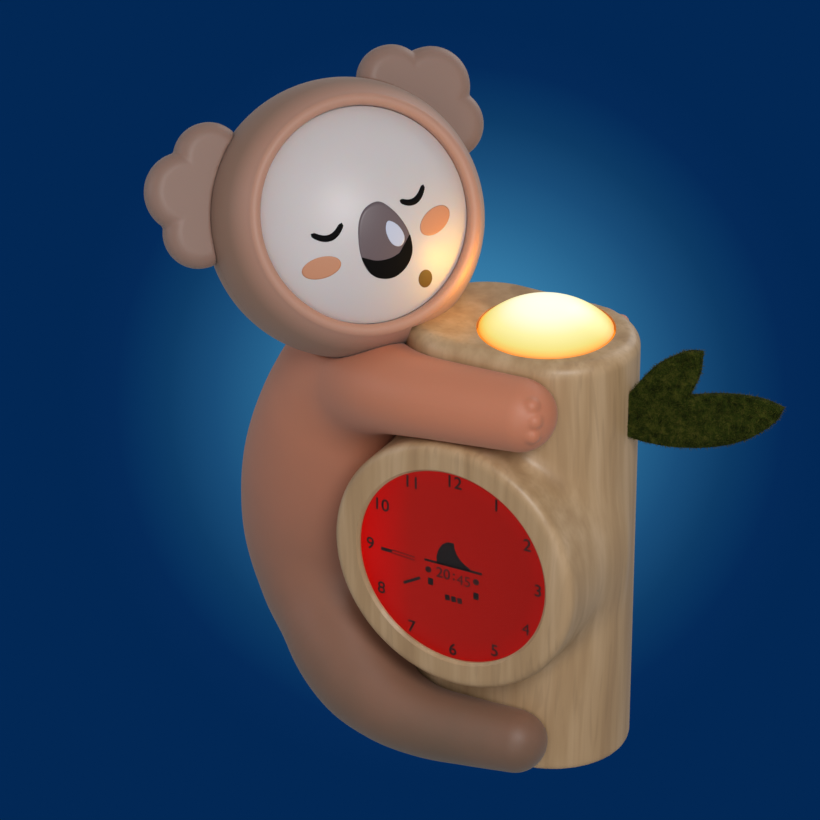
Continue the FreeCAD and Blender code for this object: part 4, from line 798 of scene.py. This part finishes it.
INK = 0.03


def on_plate(flat, level):
    """The point of the plate's ball over a flat place, raised by the level."""
    ball = math.sqrt((PLATE_BALL + level) ** 2 - flat.length_squared)
    return flat.x, flat.y, ball + RIM_LEVEL + FACE_BULGE - PLATE_BALL


def printed(name, outline, centre, material, layer, rings=10):
    """An ink film on the face: an outline of (right, up) millimetres laid on the plate's ball."""
    count = len(outline)
    points = []
    for level in (layer * INK, (layer + 1) * INK):
        for ring in range(rings, -1, -1):
            for point in outline if ring else outline[:1]:
                points.append(on_plate(Vector(centre).lerp(point, ring / rings), level))
    sheet_size = rings * count + 1
    faces = []
    for first in (0, sheet_size):
        for ring in range(rings - 1):
            outer, inner = first + ring * count, first + (ring + 1) * count
            for number in range(count):
                after = (number + 1) % count
                faces.append((outer + number, outer + after, inner + after, inner + number))
        last = first + (rings - 1) * count
        pole = first + sheet_size - 1
        faces += [(last + number, last + (number + 1) % count, pole) for number in range(count)]
    for number in range(count):
        after = (number + 1) % count
        faces.append((number, after, sheet_size + after, sheet_size + number))
    item = moved(to_mesh(name, points, faces), head_matrix)
    item.data.materials.append(material)
    sit(item, "case", "face_white")


ink_black = plain("ink_black", "030203", 0.8, Specular_IOR_Level=0.15)
ink_taupe = plain("ink_taupe", "6c5c60", 0.4)
ink_blush = plain("ink_blush", "d08f6c", 0.45)
ink_olive = plain("ink_olive", "6e4e14", 0.45)
ink_shine = plain("ink_pale_blue", "ccd2e8", 0.35)
NOSE = [(2.0, 2.6), (-2.4, 2.4), (-5.6, -0.6), (-7.6, -5.6), (-8.3, -10.4), (-7.4, -14.8), (-4.6, -17.7),
        (-0.8, -18.8), (3.2, -17.6), (6.2, -14.6), (7.2, -10.8), (6.8, -6.2), (5.0, -1.2)]
printed("nose_grey", smooth_loop(NOSE), (-0.8, -8.4), ink_taupe, 0)
MUZZLE = [(-8.2, -10.0), (-7.9, -12.6), (-6.9, -15.6), (-4.6, -17.7), (-0.8, -18.8), (3.2, -17.6),
          (6.2, -14.6), (7.2, -10.8), (7.1, -9.4), (5.8, -11.4), (3.4, -12.7), (0.0, -13.3), (-3.6, -12.7),
          (-6.4, -11.3)]
printed("nose_black", smooth_loop(MUZZLE), (-0.6, -15.4), ink_black, 1)
SHINE = [(2.4, -3.4), (0.9, -5.4), (0.8, -8.2), (1.7, -10.4), (3.4, -11.3), (5.0, -10.4), (5.5, -8.4),
         (4.6, -5.4)]
printed("nose_shine", smooth_loop(SHINE), (3.1, -7.6), ink_shine, 1)


def ellipse(middle, long_half, short_half, turn, steps=48):
    """An oval outline, turned anticlockwise by degrees."""
    spin = Matrix.Rotation(math.radians(turn), 2)
    angles = [2 * math.pi * n / steps for n in range(steps)]
    return [Vector(middle) + spin @ Vector((long_half * math.cos(angle), short_half * math.sin(angle)))
            for angle in angles]


for name, centre, long_half, short_half, turn, ink in (
        ("cheek_left", (-19.1, -8.3), 5.2, 3.0, -8, ink_blush),
        ("cheek_right", (16.5, -8.9), 5.8, 3.4, 12, ink_blush),
        ("mouth", (8.3, -23.0), 2.3, 2.5, 0, ink_olive)):
    printed(name, ellipse(centre, long_half, short_half, turn), centre, ink, 0)


def eye(name, left, low, right, width):
    """A closed eye: an arc through three points, a little thinner at its rounded ends."""
    left, low, right = Vector(left), Vector(low), Vector(right)
    pull = 2 * low - (left + right) / 2
    upper, under = [], []
    for number in range(25):
        t = number / 24
        point = left * (1 - t) ** 2 + pull * 2 * t * (1 - t) + right * t ** 2
        slope = (pull - left) * (1 - t) + (right - pull) * t
        end = 1 - min(1, min(t, 1 - t) / 0.08)
        thin = (0.72 + 0.28 * math.sin(math.pi * t)) * math.sqrt(1.0001 - end ** 2)
        half = slope.normalized().orthogonal() * width / 2 * thin
        upper.append(point + half)
        under.append(point - half)
    count = len(upper)
    points = [on_plate(flat, level) for level in (0.0, INK) for flat in upper + under]
    faces = []
    for n in range(count - 1):
        for one, two in ((0, count), (2 * count, 3 * count), (0, 2 * count), (count, 3 * count)):
            faces.append((one + n, one + n + 1, two + n + 1, two + n))
    faces += [(0, count, 3 * count, 2 * count), (count - 1, 2 * count - 1, 4 * count - 1, 3 * count - 1)]
    item = moved(to_mesh(name, points, faces), head_matrix)
    item.data.materials.append(ink_black)
    sit(item, "case", "face_white")


EYE_WIDTH = 1.9
eye("eye_left", (-18.6, 1.6), (-14.4, -1.4), (-9.9, 1.2), EYE_WIDTH)
eye("eye_right", (8.0, 0.5), (12.4, -1.4), (17.0, 1.7), EYE_WIDTH)

# Ears: a soft pad of three round lobes each, in a paler tint of the koala's soft-touch plastic. Each is
# shaped to the head's side and fixed there, and leans with the head.
EAR_LOBES = ((0, 46.7, 11.8), (14.5, 42.4, 10.5), (-14.5, 42.4, 10.5))
EAR_ANGLE = 58.5
EAR_THICKNESS = 10.0
EAR_BACK = -9.0
EAR_EDGE = 4.2
LOBE_TRIM = 0.4
EAR_GAP = 0.06


def ear_field(x, y, z, side):
    """A flat pad of three round lobes with a rounded rim, less the head's ball."""
    right, up, out = in_head(x, y, z)
    plan = None
    for turn, distance, radius in EAR_LOBES:
        angle = math.radians(EAR_ANGLE + turn)
        lobe_right, lobe_up = side * distance * math.sin(angle), distance * math.cos(angle)
        lobe = np.sqrt((right - lobe_right) ** 2 + (up - lobe_up) ** 2) - radius + LOBE_TRIM
        plan = lobe if plan is None else joined(plan, lobe, 0.6)
    field = tube_field(plan, 0, out, EAR_BACK, EAR_BACK + EAR_THICKNESS, EAR_EDGE)
    return without(field, head_field(x, y, z, EAR_GAP), 0.5)


# The ear's colours: warm top, middle and darker painted shade lower down.
ear_skin = soft_touch("soft_touch_ear", "967668", "92745f", "8b6e62")
step = 0.5
for side, name in ((-1, "ear_left"), (1, "ear_right")):
    ear_low, ear_high = at_node(name)
    low = ear_low - margin
    x, y, z = cells(low, ear_high + margin, step)
    ear = skin(name + "_lobes", ear_field(x, y, z, side), low, step)
    ear.data.set_sharp_from_angle(angle=math.radians(60))
    ear.data.materials.append(ear_skin)
    sit(ear, "case", "koala_skin", name)

# Leaf: two leaflets on one root, die-cut from a thick layer of dark green wool felt with loose fibres
# all over. The root is pushed through a slot in the trunk's side and clipped inside.
LEAF_PLACE = (27.0, 0, FOOT + 110.7)
LEAF_HALF = 1.2


def open_curve(corners, steps=10):
    """A smooth curve from the first corner to just before the last."""
    corners = [Vector(corner) for corner in corners]
    chain = [2 * corners[0] - corners[1]] + corners + [2 * corners[-1] - corners[-2]]
    curve = []
    for number in range(len(corners) - 1):
        curve += curve_part(*chain[number:number + 4], steps)
    return curve


UPPER_LEAFLET = [(0, 6.8), (7.4, 16.9), (16.2, 23.5), (21.6, 24.9)]
NOTCH = [(21.6, 24.9), (20.9, 17.6), (18.2, 10.6)]
LOWER_LEAFLET = [(18.2, 10.6), (28.5, 13.6), (39.1, 15.0), (46.6, 14.0)]
UNDERSIDE = [(46.6, 14.0), (43.8, 8.6), (35.7, 1.6), (25.8, -3.2), (15.1, -6.1), (6.4, -7.0), (0, -6.8)]
ROOT_END = [Vector((-3.5, -6.8)), Vector((-3.5, 6.8))]
leaf_outline = []
for edge in (UPPER_LEAFLET, NOTCH, LOWER_LEAFLET, UNDERSIDE):
    leaf_outline += open_curve(edge)
leaf_outline += ROOT_END
leaf = prism("felt_leaf", leaf_outline, -LEAF_HALF, LEAF_HALF)
moved(leaf, Matrix.Translation(LEAF_PLACE) @ upright)


def felt(name, dark, mid, light):
    """Pressed wool felt: a dark mottled ground under short paler fibres."""
    material, tree, shader = new_material(name, Roughness=1.0, Specular_IOR_Level=0.1)
    inputs = {"Vector": place_of(tree, 2.2), "Scale": 1, "Detail": 4, "Roughness": 0.7}
    clumps = node(tree, "ShaderNodeTexNoise", inputs).outputs["Fac"]
    tint = node(tree, "ShaderNodeValToRGB", {"Fac": clumps}, stops=((0.35, dark), (0.52, mid), (0.70, light)))
    tree.links.new(tint.outputs["Color"], shader.inputs["Base Color"])
    relief = node(tree, "ShaderNodeBump", {"Height": clumps, "Strength": 0.8, "Distance": 0.35 * MM})
    tree.links.new(relief.outputs["Normal"], shader.inputs["Normal"])
    return material


bevel = leaf.modifiers.new("Round", "BEVEL")
bevel.width = 0.5 * MM
bevel.segments = 3
bevel.limit_method = "ANGLE"
settled(leaf, 40)
leaf.data.materials.append(felt("olive_felt", "161d03", "2a340a", "4a4c18"))


def fibre_tree():
    """Short loose fibres standing at random leans all over the surface they are given."""
    tree = bpy.data.node_groups.new("felt_fibres", "GeometryNodeTree")
    for name, kind in (("Geometry", "Geometry"), ("Density", "Float"), ("Length", "Float"),
                       ("Material", "Material"), ("Seed", "Int")):
        tree.interface.new_socket(name, in_out="INPUT", socket_type="NodeSocket" + kind)
    tree.interface.new_socket("Geometry", in_out="OUTPUT", socket_type="NodeSocketGeometry")
    given = node(tree, "NodeGroupInput").outputs
    spread = node(tree, "GeometryNodeDistributePointsOnFaces",
                  {"Mesh": given["Geometry"], "Density": given["Density"], "Seed": given["Seed"]})
    fibre = node(tree, "GeometryNodeMeshCone",
                 {"Vertices": 3, "Radius Top": 0.00002, "Radius Bottom": 0.00006, "Depth": given["Length"]},
                 fill_type="NONE")
    lean = node(tree, "FunctionNodeRandomValue",
                {0: (-1.1, -1.1, -3.1), 1: (1.1, 1.1, 3.1), "Seed": given["Seed"]}, data_type="FLOAT_VECTOR")
    turned = node(tree, "FunctionNodeRotateRotation", {0: spread.outputs["Rotation"], 1: lean.outputs[0]},
                  rotation_space="LOCAL")
    stretch = node(tree, "FunctionNodeRandomValue", {2: 0.5, 3: 1.3, "Seed": given["Seed"]},
                   data_type="FLOAT")
    placed = node(tree, "GeometryNodeInstanceOnPoints",
                  {"Points": spread.outputs["Points"], "Instance": fibre.outputs["Mesh"],
                   "Rotation": turned.outputs[0], "Scale": stretch.outputs[1]})
    real = node(tree, "GeometryNodeRealizeInstances", {"Geometry": placed.outputs[0]})
    tinted = node(tree, "GeometryNodeSetMaterial",
                  {"Geometry": real.outputs[0], "Material": given["Material"]})
    both = node(tree, "GeometryNodeJoinGeometry")
    tree.links.new(given["Geometry"], both.inputs[0])
    tree.links.new(tinted.outputs[0], both.inputs[0])
    tree.links.new(both.outputs[0], node(tree, "NodeGroupOutput").inputs[0])
    return tree


fibres = leaf.modifiers.new("Fibres", "NODES")
fibres.node_group = fibre_tree()
FIBRES_PER_METRE2 = 4.5e6
FIBRE_LENGTH = 0.0008
settings = {"Density": FIBRES_PER_METRE2, "Length": FIBRE_LENGTH, "Seed": 7,
            "Material": felt("olive_fibre", "3a3e10", "4a4a1a", "5e5426")}
for socket in fibres.node_group.interface.items_tree:
    if socket.name in settings:
        fibres[socket.identifier] = settings[socket.name]
bpy.context.view_layer.update()
fuzzy = bpy.data.meshes.new_from_object(leaf.evaluated_get(bpy.context.evaluated_depsgraph_get()))
leaf.modifiers.remove(fibres)
leaf.data = fuzzy
sit(leaf, "case", "leaf_felt", "leaf")

# Base, door, keys and the inside: the CAD pieces as they are, in their real materials. The base and the
# boards are held by screws, the door hangs on its hinge in the same wood-effect print as the trunk, and
# the grey keys and the slide stand in their holes at the back.
finishes = {
    "base_plastic": plain("base_plastic", "b69068", 0.5, 0.8),
    "steel": plain("zinc_steel", "a8a8aa", 0.32, Metallic=1.0),
    "rubber": plain("grey_rubber", "3a3a3c", 0.8, 0.6),
    "diffuser_white": plain("diffuser_white", "f0f0ec", 0.5),
    "inner_black": plain("inner_black", "161616", 0.55),
    "circuit_board": plain("circuit_board", "1f5a34", 0.45),
    "cell_metal": plain("cell_wrap", "8f9398", 0.35, Metallic=0.6),
    "contact_metal": plain("nickel_contact", "b8b2a4", 0.3, Metallic=1.0),
    "led_lens": plain("led_lens", "f6e9a8", 0.3),
    "button_grey": plain("key_grey", "8f8579", 0.5, 0.5),
    "door_plastic": wood,
}
slots = {row["node"]: row["material_slot"] for row in frame["record"]["subparts"]}
dressed = {"trunk_housing", "dial_window", "lcd_panel", "night_light_dome", "dome_return_pad",
           "koala_front_shell", "koala_rear_shell", "head_front_shell", "head_rear_shell", "face_plate",
           "ear_left", "ear_right", "leaf"}
for name, item in nodes.items():
    if name in dressed:
        continue
    item.data.materials.clear()
    item.data.materials.append(finishes.get(slots[name], finishes["inner_black"]))

# Light: the key is a soft box above the front right. A front fill, a cool fill from the left and a lamp
# behind soften the shadows, and a small warm lamp adds the dome's spill on the head. The blue glow
# behind the object is seen by the camera only; everything else is lit by a dim even sky.


def soft_box(name, place, target, size, power, code="ffffff"):
    """A round area lamp aimed at the target; size in metres, power in watts."""
    lamp = bpy.data.lights.new(name, "AREA")
    lamp.shape = "DISK"
    lamp.size = size
    lamp.energy = power
    lamp.color = colour(code)[:3]
    item = bpy.data.objects.new(name, lamp)
    item.location = place
    item.rotation_euler = (Vector(target) - Vector(place)).to_track_quat("-Z", "Y").to_euler()
    bpy.context.scene.collection.objects.link(item)


centre = (-0.02, 0, 0.09)
soft_box("key_light", (0.42, -0.48, 0.60), centre, 0.34, 3.0)
soft_box("front_light", (0.35, -0.90, 0.20), centre, 0.5, 0.8)
soft_box("left_light", (-0.75, -0.45, 0.35), centre, 0.5, 0.7, "e8f0ff")
soft_box("rear_light", (0.1, 0.8, 0.5), centre, 0.6, 1.8)
soft_box("night_glow", (-0.012, -0.004, 0.146), (-0.05, -0.015, 0.160), 0.012, 0.005, "ffc040")

CAMERA_PLACE = Vector((0.4682, -0.8872, 0.6321))
CAMERA_BACK = Vector((0.4427, -0.7668, 0.4648)).normalized()
world = bpy.data.worlds.new("backdrop")
bpy.context.scene.world = world
world.use_nodes = True
tree = world.node_tree
background = tree.nodes["Background"]
background.inputs["Color"].default_value = (0.9, 0.95, 1.0, 1)
background.inputs["Strength"].default_value = 0.28
direction = node(tree, "ShaderNodeTexCoord").outputs["Generated"]
up = Vector((0, 0, 1))
side = up.cross(CAMERA_BACK).normalized()
rise = CAMERA_BACK.cross(side)
glow_line = (side * 0.0100 + rise * 0.0025 - CAMERA_BACK).normalized()
cosine = node(tree, "ShaderNodeVectorMath", {0: direction, 1: glow_line}, operation="DOT_PRODUCT")
angle = node(tree, "ShaderNodeMath", {0: cosine.outputs["Value"]}, operation="ARCCOSINE").outputs[0]
GLOW_ANGLE = 0.095
away = node(tree, "ShaderNodeMapRange", {"Value": angle, "From Max": GLOW_ANGLE}).outputs[0]
glow = node(tree, "ShaderNodeValToRGB", {"Fac": away}, stops=(
    (0.0, "4f96c0"), (0.366, "3377a2"), (0.5, "25618c"), (0.618, "194d79"), (0.74, "0d3b66"),
    (0.81, "083360"), (0.88, "042a59"), (1.0, "022856")))
shown = node(tree, "ShaderNodeBackground", {"Color": glow.outputs["Color"], "Strength": 1.0})
seen = node(tree, "ShaderNodeLightPath").outputs["Is Camera Ray"]
pick = node(tree, "ShaderNodeMixShader", {0: seen, 1: background.outputs[0], 2: shown.outputs[0]})
tree.links.new(pick.outputs[0], tree.nodes["World Output"].inputs["Surface"])

FOCAL_PIXELS = 4000
IMAGE_PIXELS = 820
camera_data = bpy.data.cameras.new("camera")
camera_data.sensor_width = 36
camera_data.lens = camera_data.sensor_width * FOCAL_PIXELS / IMAGE_PIXELS
camera_data.clip_start = 0.01
camera = bpy.data.objects.new("camera", camera_data)
camera_turn = Matrix((side, rise, CAMERA_BACK)).transposed().to_4x4()
camera.matrix_world = Matrix.Translation(CAMERA_PLACE) @ camera_turn
bpy.context.scene.collection.objects.link(camera)
bpy.context.scene.camera = camera
bpy.context.scene.view_settings.view_transform = "Standard"
